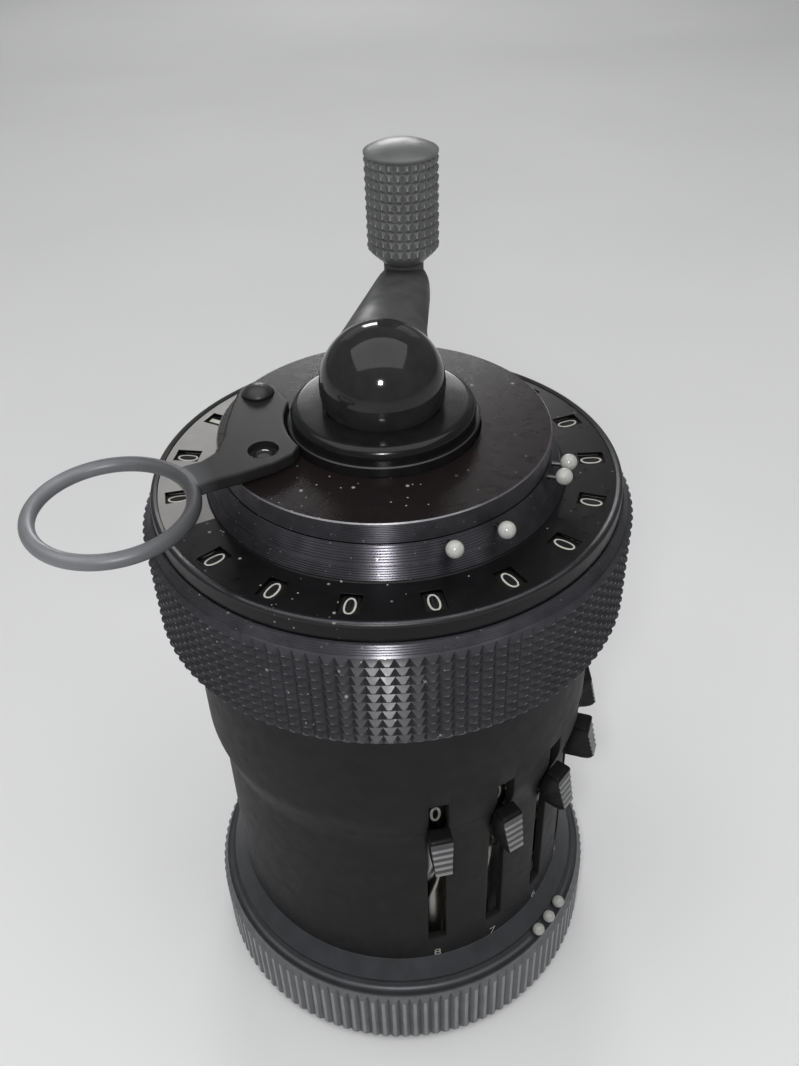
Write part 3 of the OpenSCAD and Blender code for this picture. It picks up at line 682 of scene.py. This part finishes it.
def makeDisc(s):
    profile = [(s["hole"], s["low"]), (s["skirtIn"], s["low"]), (s["skirtIn"], s["skirtLow"]),
               (s["skirtOut"], s["skirtLow"]), (s["skirtOut"], s["low"]), (s["r"] - 0.1, s["low"])]
    profile += grooved((s["r"], s["low"] + 0.08), (s["r"], s["high"] - 0.12), s["grooves"], s["grooveDeep"])
    profile += [(s["r"] - 0.12, s["high"]), (s["hole"] + 0.1, s["high"]), (s["hole"], s["high"] - 0.1)]
    disc = turnProfile(profile, s["sides"])
    addFinishes(disc, discBlack, edgeHighlight, turnedBlack, edgeDimHighlight)
    low, high, wall = s["low"], s["high"], s["r"] - 0.4
    paintFaces(disc, 2, lambda c, n: low < c.z < high - 0.1 and c.xy.length > wall)
    # painted highlight along the disc's top edge
    paintFaces(disc, 1, lambda c, n: high - 0.11 < c.z < high - 0.01 and c.xy.length > wall)
    # painted highlight along the disc's bottom edge
    paintFaces(disc, 3, lambda c, n: low + 0.01 < c.z < low + 0.07 and c.xy.length > wall)
    smoothPiece(disc, 16)
    finishPiece(disc, "clearingDisc", "clearing", "black_alloy", "clearing_disc")


makeDisc(discSize)


# Collar round the hub

collarSize = {"low": 77.9, "flange": 10.0, "flangeTop": 80.95, "neck": 9.35, "neckTop": 81.25, "r": 9.6,
              "top": 82.6, "lip": 0.9, "well": 6.27, "wellFloor": 81.6, "bore": 3.55, "sides": 144}


def makeCollar(s):
    lip = s["lip"]
    crown = [(s["r"] - lip + lip * math.cos(a), s["top"] - lip + lip * math.sin(a))
             for a in [math.radians(-20 + 11 * i) for i in range(11)]]
    profile = [(s["bore"], s["low"]), (s["flange"], s["low"]), (s["flange"], s["flangeTop"] - 0.12),
               (s["flange"] - 0.12, s["flangeTop"]), (s["neck"], s["flangeTop"]), (s["neck"], s["neckTop"])]
    profile += crown + [(s["well"], s["top"]), (s["well"], s["wellFloor"]), (s["bore"], s["wellFloor"])]
    collar = turnProfile(profile, s["sides"])
    addFinishes(collar, enamelBlack, flangeHighlight)
    # painted highlight on the flange's top edge
    paintFaces(collar, 1, lambda c, n: s["flangeTop"] - 0.1 < c.z < s["flangeTop"] - 0.01
               and c.xy.length > s["neck"])
    smoothPiece(collar, 30)
    finishPiece(collar, "hubCollar", "stand", "black_enamel", "column_collar")


makeCollar(collarSize)


# Crank: gloss ball, flat-topped arm and the grip's pin

armSize = {"az": 171, "reach": 19.3, "ball": 6.47, "ballZ": 84.55, "flat": 81.9, "under": 83.3,
           "topZ": (89.9, 89.05), "left": (5.35, 2.85), "right": (4.2, 3.05), "fillet": 1.0,
           "filletTo": 0.55, "tipFrom": 0.87, "tipR": 2.8, "neck": 2.25, "neckZ": (86.0, 89.45),
           "pin": 1.6, "pinTop": 100.7, "square": 2.9, "rings": 44, "points": 64}


def armRing(s, share):
    along = s["reach"] * share
    left = s["left"][0] + (s["left"][1] - s["left"][0]) * min(share, 1)
    right = s["right"][0] + (s["right"][1] - s["right"][0]) * min(share, 1)
    right += s["fillet"] * max(0, 1 - share / s["filletTo"]) ** 2
    high = s["topZ"][0] + (s["topZ"][1] - s["topZ"][0]) * min(share, 1)
    start = s["tipFrom"] * s["reach"]
    past = max(0, (along - start) / (s["reach"] + s["tipR"] - start))
    shrink = math.sqrt(max(1e-4, 1 - past ** 2.6))
    drop = 1 - 0.5 * past ** 4
    low = s["under"]
    points = []
    for i in range(s["points"]):
        a = 2 * math.pi * i / s["points"]
        bend = 2 / s["square"]
        side = math.copysign(abs(math.cos(a)) ** bend, math.cos(a))
        lift = math.copysign(abs(math.sin(a)) ** bend, math.sin(a))
        across = side * (left if side > 0 else right) * shrink
        points.append((along, across, (high + low) / 2 + lift * (high - low) / 2 * drop))
    return points


def makeArm(s):
    far = 1 + s["tipR"] / s["reach"]
    shares = [far * math.sin(math.pi / 2 * i / (s["rings"] - 1)) for i in range(s["rings"])]
    way, aside = outward(s["az"]), sideways(s["az"])
    arm = loftRows([[way * along + aside * across + Vector((0, 0, z))
                     for along, across, z in armRing(s, share)] for share in shares])
    ball = ballAt((0, 0, s["ballZ"]), s["ball"], 128)
    cutBelow(ball, s["flat"])
    low, high = s["neckZ"]
    pin = turnProfile([(1.0, low), (s["neck"], low), (s["neck"], high - 0.1), (s["neck"] - 0.1, high),
                       (s["pin"], high), (s["pin"], s["pinTop"] - 0.2), (s["pin"] - 0.2, s["pinTop"])],
                      64, ring=False)
    movePiece(pin, way * s["reach"])
    for piece, finish in ((ball, hubGloss), (arm, armBlack), (pin, armBlack)):
        addFinishes(piece, finish)
    crank = joinPieces([ball, arm, pin])
    smoothPiece(crank, 35)
    finishPiece(crank, "crankArm", "crank", "gloss_hub", "crank_arm")


makeArm(armSize)


# Knurled crank grip

gripSize = {"at": 19.3, "az": 171, "low": 89.6, "edge": 101.7, "dome": 1.1, "r": 4.1, "root": 3.72,
            "neck": 3.5, "foot": 3.62, "columns": 26, "rows": 10, "inset": 0.38, "proud": 0.34,
            "pin": 1.66, "pinTop": 100.9, "sides": 72}


def makeGrip(s):
    low, edge, pin = s["low"], s["edge"], s["pin"]
    rowLow, rowHigh = low + 1.3, edge - 0.3
    step = (rowHigh - rowLow) / s["rows"]
    profile = [(pin, s["pinTop"]), (pin, low + 1.25), (s["neck"], low + 1.25)]
    profile += [(s["root"], rowLow + step * i) for i in range(s["rows"] + 1)] + [(1.0, rowHigh)]
    grip = turnProfile(profile, s["columns"], ring=False)
    addFinishes(grip, gripBlack, gripCrest)
    pickFaces(grip, lambda c, n: rowLow < c.z < rowHigh and abs(n.z) < 0.1 and c.xy.length > 3)
    bpy.ops.mesh.inset(thickness=s["inset"] * mm, depth=s["proud"] * mm, use_individual=True)
    grip.active_material_index = 1
    bpy.ops.object.material_slot_assign()
    bpy.ops.object.mode_set(mode="OBJECT")
    foot = turnProfile([(pin, low + 1.4), (pin, low), (2.3, low), (2.5, low + 0.1),
                        (s["foot"] - 0.07, low + 1.12), (s["foot"], low + 1.22),
                        (s["foot"], low + 1.4)], s["sides"])
    ball = (s["r"] ** 2 + s["dome"] ** 2) / (2 * s["dome"])  # radius of the domed cap
    dome = [(s["r"] - 0.2) * (1 - i / 10.6) for i in range(1, 11)]
    dome = [(r, edge + s["dome"] - ball + math.sqrt(ball * ball - r * r)) for r in dome]
    cap = turnProfile([(3.6, rowHigh - 0.1), (4.0, rowHigh + 0.06), (4.05, rowHigh + 0.14),
                       (4.05, edge + 0.02), (3.97, edge + 0.1)] + dome, s["sides"], ring=False)
    for piece in (foot, cap):
        addFinishes(piece, gripBlack)
    grip = joinPieces([grip, foot, cap])
    movePiece(grip, outward(s["az"]) * s["at"])
    smoothPiece(grip, 25)
    finishPiece(grip, "crankGrip", "grip", "black_alloy", "crank_grip")


makeGrip(gripSize)


# Clearing lever: a plate that runs into a round finger loop

leverSize = {"pivot": (-13.33, 4.59), "pivotR": 2.3, "hole": 1.2, "low": 80.0, "high": 81.3,
             "keepOff": 10.3, "keepOffTo": -105, "loop": (-25.5, -14.65, 80.74), "loopR": 7.6, "rod": 0.76,
             "outer": [(-2.6, -2.4), (-2.85, -5.6), (-2.9, -8.6), (-3.3, -11.0), (-4.6, -12.5),
                       (-6.3, -13.2)],
             "front": [(-4.9, -17.0), (-3.2, -16.0), (-0.6, -15.0), (2.6, -13.4), (4.3, -12.0)],
             "dimple": 13.6, "dimpleAz": -62, "wellR": 1.55, "wellTall": 1.4, "ballR": 1.5,
             "ballDown": 1.65, "ballCut": 0.85, "voxel": 0.13}


def makeLever(s):
    px, py = s["pivot"]
    end = [(px + s["pivotR"] * math.cos(a), py + s["pivotR"] * math.sin(a))
           for a in [math.radians(10 + 17 * i) for i in range(10)]]
    sides = [(px + x, py + y) for x, y in s["outer"] + s["front"]]
    startAz, endAz = faceAzimuth(Vector((*sides[-1], 0))), s["keepOffTo"]
    inner = [tuple((outward(startAz + (endAz - startAz) * i / 12) * s["keepOff"]).xy) for i in range(1, 13)]
    outline = end + sides + inner
    curve = bpy.data.curves.new("leverOutline", "CURVE")
    curve.dimensions = "2D"
    curve.fill_mode = "BOTH"
    line = curve.splines.new("POLY")
    line.points.add(len(outline) - 1)
    for point, (x, y) in zip(line.points, outline):
        point.co = (x * mm, y * mm, 0, 1)
    line.use_cyclic_u = True
    curve.extrude = (s["high"] - s["low"]) / 2 * mm
    plate = bpy.data.objects.new("leverPlate", curve)
    bpy.context.scene.collection.objects.link(plate)
    choose(plate)
    bpy.ops.object.convert(target="MESH")
    plate = bpy.context.object
    bpy.ops.object.mode_set(mode="EDIT")
    bpy.ops.mesh.select_all(action="SELECT")
    bpy.ops.mesh.remove_doubles(threshold=1e-6)
    bpy.ops.mesh.normals_make_consistent(inside=False)
    bpy.ops.transform.translate(value=(0, 0, (s["low"] + s["high"]) / 2 * mm))
    clearSelection()
    bpy.ops.mesh.primitive_torus_add(major_segments=96, minor_segments=24, major_radius=s["loopR"] * mm,
                                     minor_radius=s["rod"] * mm, location=[c * mm for c in s["loop"]])
    lever = joinPieces([plate, placeMesh()])
    applyModifier(lever, "REMESH", mode="VOXEL", voxel_size=s["voxel"] * mm)
    applyModifier(lever, "SMOOTH", factor=0.5, iterations=5)
    dimple = outward(s["dimpleAz"]) * s["dimple"]
    hole = pegAt((px, py, s["low"]), s["hole"], 6)
    well = pegAt((dimple.x, dimple.y, s["high"]), s["wellR"], s["wellTall"])
    cutWith(lever, [hole, well])
    addFinishes(lever, leverBlack, hubGloss)
    smoothPiece(lever, 50)
    ball = ballAt((dimple.x, dimple.y, s["high"] - s["ballDown"]), s["ballR"], 40)
    cutBelow(ball, s["high"] - s["ballCut"])
    addFinishes(ball, hubGloss)
    smoothPiece(ball, 40)
    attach(ball, "lever")
    ball.name = "leverDetent"
    finishPiece(lever, "clearingLever", "lever", "black_enamel", "clearing_lever")


makeLever(leverSize)


# Beads, and smooth bevelled copies of the small solids

beadSize = {"topAz": [18, 34.9, 66.9, 74.7], "topAt": 19.35, "topZ": 77.35, "topR": 0.87,
            "stemZ": 77.0, "stemR": 0.22, "stemIn": 17.5,
            "baseAz": [44.9, 50.5, 56.6], "baseAt": 24.75, "baseZ": 11.45, "baseR": 0.8}


def makeBeads(s):
    top = ballAt(outward(0) * s["topAt"] + Vector((0, 0, s["topZ"])), s["topR"], 40)
    addFinishes(top, beadWhite)
    clearSelection()
    stem = pocketAt(0, s["stemZ"], (s["stemR"], s["stemIn"], s["topAt"]))
    roundEdges(stem, 0.05, 1, 40)
    addFinishes(stem, beadPin)
    top = joinPieces([top, stem])
    low = ballAt(outward(0) * s["baseAt"] + Vector((0, 0, s["baseZ"])), s["baseR"], 40)
    addFinishes(low, beadWhite)
    for piece, azimuths, place in ((top, s["topAz"], "top"), (low, s["baseAz"], "base")):
        smoothPiece(piece, 40)
        for i, az in enumerate(azimuths, 1):
            node = f"{place}_bead_{i}"
            finishPiece(copyPiece(piece, aboutAxis(az)), f"{place}Bead_{i}", node, "white_bead", node)
        bpy.data.objects.remove(piece)


def smoothCopy(nodeName, name, body, slotName, bevel=0.0, angle=30):
    piece = bpy.data.objects.new(name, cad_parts[nodeName].data.copy())
    bpy.context.scene.collection.objects.link(piece)
    editMesh(piece)
    bpy.ops.mesh.select_all(action="SELECT")
    bpy.ops.mesh.remove_doubles(threshold=1e-6)
    bpy.ops.object.mode_set(mode="OBJECT")
    if bevel:
        roundEdges(piece, bevel, 2, angle + 5)
    smoothPiece(piece, angle)
    finishPiece(piece, name, body, slotName, nodeName)
    return piece


buttonSize = {"low": 35.7, "high": 41.4, "face": (25.78, 24.92), "faceZ": (36.5, 40.6),
              "ridges": 5, "proud": 0.14, "crest": (0, 0.8, 1, 0.3, 0, 0, 0, 0),
              "footWide": 1.76, "lipWide": 2.5, "gap": 0.12, "round": 0.1,
              "across": ((-1, 1), (-0.97, 0.3), (-0.9, 0), (-0.45, 0), (0, 0), (0.45, 0), (0.9, 0),
                         (0.97, 0.3), (1, 1))}


def makeButton(s):  # a leaning face with five ridges, a smooth black top and a rounded foot
    (footR, lipR), (faceLow, faceHigh) = s["face"], s["faceZ"]
    low, high = s["low"], s["high"]
    wave = len(s["crest"])
    steps = s["ridges"] * wave
    outline = [(bodyRadius(low) + s["gap"], low), (footR - 1.3, low), (footR - 0.6, low + 0.15),
               (footR - 0.2, low + 0.42)]
    for i in range(steps + 1):
        share = i / steps
        r = footR + (lipR - footR) * share + s["proud"] * s["crest"][i % wave]
        outline.append((r, faceLow + (faceHigh - faceLow) * share))
    outline += [(lipR + 0.03, faceHigh + 0.15), (lipR + 0.03, high - 0.3), (lipR - 0.12, high - 0.08),
                (lipR - 0.5, high)]
    outline += [(bodyRadius(high - 0.3 * i) + s["gap"], high - 0.3 * i) for i in range(13)]
    middle = Vector(((footR + bodyRadius(low)) / 2, (low + high) / 2))
    rows = []
    for t, shrink in s["across"]:
        row = []
        for r, z in outline:
            inwards = (middle - Vector((r, z))).normalized() * s["round"] * shrink
            share = min(1, (z - low) / (faceHigh - low))
            half = (s["footWide"] + (s["lipWide"] - s["footWide"]) * share) / 2
            row.append(outward(0) * (r + inwards.x) + sideways(0) * half * t
                       + Vector((0, 0, z + inwards.y)))
        rows.append(row)
    button = loftRows(rows)
    addFinishes(button, slideBlack, slideFaceLit, slideRidgeHighlight)
    way, pitch = outward(0), (faceHigh - faceLow) / s["ridges"]

    def onFace(c, n):
        return faceLow < c.z < high - 0.3 and n.dot(way) > 0.3 and c.dot(way) > lipR - 0.3

    # painted light: the front face is lighter than the top
    paintFaces(button, 1, onFace)
    # painted highlight on the upper part of each ridge
    paintFaces(button, 2, lambda c, n: onFace(c, n) and c.z < faceHigh
               and 0.2 < (c.z - faceLow) / pitch % 1 < 0.5)
    smoothPiece(button, 50)
    return button


def makeSliders(shape):
    for i, az in enumerate(slideAz, 1):
        slider = smoothCopy(f"slider_{i}", f"slider_{i}_button", f"slide_{i}", "black_enamel")
        joinPieces([slider, copyPiece(shape, aboutAxis(az))])
    bpy.data.objects.remove(shape)


shaftSize = {"at": 18.6, "drumFrom": 39.5, "drumIn": 2.3, "drumR": 2.45, "drumNew": 3.1}


def makeShafts(s):  # the number drum at a shaft's top turns black and wider
    wider = s["drumNew"] / s["drumR"]
    for i, az in enumerate(slideAz, 1):
        shaft = smoothCopy(f"setting_shaft_{i}", f"settingShaft_{i}", f"setting_{i}", "bright_steel")
        addFinishes(shaft, dialBlack)
        axis = outward(az).xy * s["at"]
        paintFaces(shaft, 1, lambda c, n: c.z > s["drumFrom"] and (c.xy - axis).length > s["drumIn"])
        bpy.ops.transform.resize(value=(wider, wider, 1), center_override=(axis.x * mm, axis.y * mm, 0))
        bpy.ops.object.mode_set(mode="OBJECT")


def makeSpring():  # a smooth copy of the spring, with a mesh of its own
    spring = smoothCopy("carriage_spring", "carriageSpring", "spring", "bright_steel")
    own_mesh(spring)


makeBeads(beadSize)
makeSliders(makeButton(buttonSize))
makeShafts(shaftSize)
for kind, azimuths in (("result", resultAz), ("counter", counterAz)):
    for i in range(1, len(azimuths) + 1):
        smoothCopy(f"{kind}_dial_{i}", f"{kind}Dial_{i}", f"{kind}_{i}", "dial_black")
smoothCopy("pivot_rivet", "pivotRivet", "clearing", "black_enamel")
smoothCopy("reversing_lever", "reversingLever", "reverser", "black_enamel", 0.2)
makeSpring()


# Numbers on the dials, on the setting drums and under the slots

numberSize = {"dialR": 3.1, "dialZ": 70.9, "dialAt": 22.15, "dialTall": 2.28, "dialWide": 1.2, "dialOn": 3,
              "drumR": 3.1, "drumAt": 18.6, "drumZ": 42.2, "drumTall": 2.4, "drumWide": 1.25,
              "bodyR": 22.2, "bodyZ": 14.7, "bodyTall": 1.25, "bodyWide": 0.85, "proud": 0.02, "turn": 36,
              "thin": -0.018, "bold": 0.006}


def makeDigit(text, wide, tall, weight):  # a flat figure of that size, centred at the origin
    clearSelection()
    bpy.ops.object.text_add()
    figure = bpy.context.object
    figure.data.body = text
    figure.data.extrude = 0.05
    figure.data.offset = weight
    figure.data.resolution_u = 5
    bpy.ops.object.convert(target="MESH")
    figure = bpy.context.object
    points = [v.co.copy() for v in figure.data.vertices]
    low = [min(p[i] for p in points) for i in range(2)]
    high = [max(p[i] for p in points) for i in range(2)]
    narrow = 0.55 if text == "1" else 1
    for v in figure.data.vertices:
        v.co.x = ((v.co.x - low[0]) / (high[0] - low[0]) - 0.5) * wide * narrow * mm
        v.co.y = ((v.co.y - low[1]) / (high[1] - low[1]) - 0.5) * tall * mm
        v.co.z = 0.0 if v.co.z > 0 else -0.12 * mm
    return figure


def wrapFigure(figure, radius, place):  # bends a figure round a drum
    for v in figure.data.vertices:
        v.co = place(v.co.x / (radius * mm), v.co.y, radius * mm + v.co.z)


def joinFigures(figures):
    band = joinPieces(figures)
    band.data.materials.clear()
    addFinishes(band, numberPaint)
    return band


def makeDialNumbers(s):
    figures = []
    middle, lift = Vector((0, 0, s["dialZ"] * mm)), s["proud"] * mm
    for digit in range(10):
        figure = makeDigit(str(digit), s["dialWide"], s["dialTall"], s["thin"])

        def onDial(angle, y, r, digit=digit):
            a = math.radians(s["turn"] * digit) + angle
            return (middle + outward(0) * (s["dialAt"] * mm - y) + sideways(0) * (r + lift) * math.sin(a)
                    + Vector((0, 0, 1)) * (r + lift) * math.cos(a))

        wrapFigure(figure, s["dialR"], onDial)
        figures.append(figure)
    band = joinFigures(figures)
    for kind, azimuths in (("result", resultAz), ("counter", counterAz)):
        for i, az in enumerate(azimuths, 1):
            twin = copyPiece(band, aboutAxis(az))
            if kind == "counter" and i == s["dialOn"]:  # this dial stands one place on
                turn = Matrix.Rotation(math.radians(s["turn"]), 4, outward(az))
                twin.data.transform(Matrix.Translation(middle) @ turn @ Matrix.Translation(-middle))
            finishPiece(twin, f"{kind}Numbers_{i}", f"{kind}_{i}", "white_bead")
    bpy.data.objects.remove(band)


def makeDrumNumbers(s):
    figures = []
    for digit in range(10):
        figure = makeDigit(str(digit), s["drumWide"], s["drumTall"], s["bold"])

        def onDrum(angle, y, r, digit=digit):
            a = math.radians(-s["turn"] * digit) + angle
            out = r + s["proud"] * mm
            return (outward(0) * (s["drumAt"] * mm + out * math.cos(a)) + sideways(0) * out * math.sin(a)
                    + Vector((0, 0, s["drumZ"] * mm + y)))

        wrapFigure(figure, s["drumR"], onDrum)
        figures.append(figure)
    band = joinFigures(figures)
    for i, az in enumerate(slideAz, 1):
        twin = copyPiece(band, aboutAxis(az))
        finishPiece(twin, f"settingNumbers_{i}", f"setting_{i}", "white_bead")
    bpy.data.objects.remove(band)


def makeSlotNumbers(s):
    figures = []
    for i, az in enumerate(slideAz, 1):
        figure = makeDigit(str(i), s["bodyWide"], s["bodyTall"], s["thin"])

        def onBody(angle, y, r, az=az):
            a = az + math.degrees(angle)
            return outward(a) * (r + s["proud"] * mm) + Vector((0, 0, s["bodyZ"] * mm + y))

        wrapFigure(figure, s["bodyR"], onBody)
        figures.append(figure)
    finishPiece(joinFigures(figures), "slotNumbers", "stand", "white_bead")


makeDialNumbers(numberSize)
makeDrumNumbers(numberSize)
makeSlotNumbers(numberSize)


# Floor, light and camera

# painted shade: each pair runs from the near floor colour to a darker far one
stageSize = {"floor": 6, "near": -0.05, "far": 0.5, "plain": ((0.84, 0.84, 0.84), (0.45, 0.45, 0.45)),
             "foldShadeRamp": ((0.8, 0.8, 0.805), (0.425, 0.425, 0.43)), "sky": (0.73, 0.74, 0.75), "skyLight": 0.24}


def makeStage(s):  # painted shade: the floor colour darkens away from the viewer, and in patches where the cloth folds
    clearSelection()
    bpy.ops.mesh.primitive_grid_add(x_subdivisions=40, y_subdivisions=40, size=s["floor"])
    floor = bpy.context.object
    floor.name = "floorCloth"
    finish, tree, shader, place = newFinish("floorCloth", s["plain"][0], 0.9)
    weave = addNoise(tree, place, 900, 4.0)
    folds = addNoise(tree, place, 9, 3.0)
    spot = tree.nodes.new("ShaderNodeSeparateXYZ")
    tree.links.new(place, spot.inputs["Vector"])
    away = addRange(tree, spot.outputs["Y"], 0.0, 1.0, s["near"], s["far"])
    plain = addMix(tree, away, *s["plain"])
    foldShadeRamp = addMix(tree, away, *s["foldShadeRamp"])
    tone = addMix(tree, addRange(tree, folds, 0.0, 1.0), plain, foldShadeRamp)
    tree.links.new(tone, shader.inputs["Base Color"])
    addBump(tree, shader, weave, 0.05, 0.4)
    addFinishes(floor, finish)
    world = bpy.data.worlds.new("studio")
    bpy.context.scene.world = world
    world.use_nodes = True
    sky = world.node_tree.nodes["Background"]
    sky.inputs["Color"].default_value = (*s["sky"], 1)
    sky.inputs["Strength"].default_value = s["skyLight"]


def addLamp(name, place, aim, size, power):
    lamp = bpy.data.lights.new(name, "AREA")
    lamp.shape = "RECTANGLE"
    lamp.size, lamp.size_y = size
    lamp.energy = power
    holder = bpy.data.objects.new(name, lamp)
    holder.location = place
    holder.rotation_euler = (Vector(aim) - Vector(place)).to_track_quat("-Z", "Y").to_euler()
    bpy.context.scene.collection.objects.link(holder)


cameraSize = {"place": (0, -0.09123, 0.13644), "yaw": 0.0130774, "pitch": 0.6632753, "roll": -0.0356958,
              "lens": 34.54, "sensor": 36, "clip": 0.005}


def makeCamera(s):
    yaw, pitch, roll = s["yaw"], s["pitch"], s["roll"]
    ahead = Vector((math.sin(yaw) * math.cos(pitch), math.cos(yaw) * math.cos(pitch), -math.sin(pitch)))
    level = Vector((math.cos(yaw), -math.sin(yaw), 0))
    above = level.cross(ahead)
    right = level * math.cos(roll) + above * math.sin(roll)
    up = above * math.cos(roll) - level * math.sin(roll)
    lens = bpy.data.cameras.new("photoCamera")
    lens.lens = s["lens"]
    lens.sensor_width = s["sensor"]
    lens.clip_start = s["clip"]
    camera = bpy.data.objects.new("photoCamera", lens)
    turn = Matrix((right, up, -ahead)).transposed().to_4x4()
    camera.matrix_world = Matrix.Translation(s["place"]) @ turn
    bpy.context.scene.collection.objects.link(camera)
    bpy.context.scene.camera = camera


makeStage(stageSize)
addLamp("overhead", (-0.1, -0.06, 1.05), (-0.1, 0, 0.05), (1.8, 1.1), 9.6)
addLamp("glow", (0, 1.0, 0.5), (0, 0, 0.08), (1.4, 0.4), 0.45)
addLamp("window", (-0.02, 0.8, 0.38), (0, 0, 0.085), (0.34, 0.15), 1.7)
addLamp("flash", (-0.006, -0.0955, 0.14), (0, 0, 0.07), (0.012, 0.012), 0.066)
makeCamera(cameraSize)
bpy.context.scene.view_settings.view_transform = "Standard"
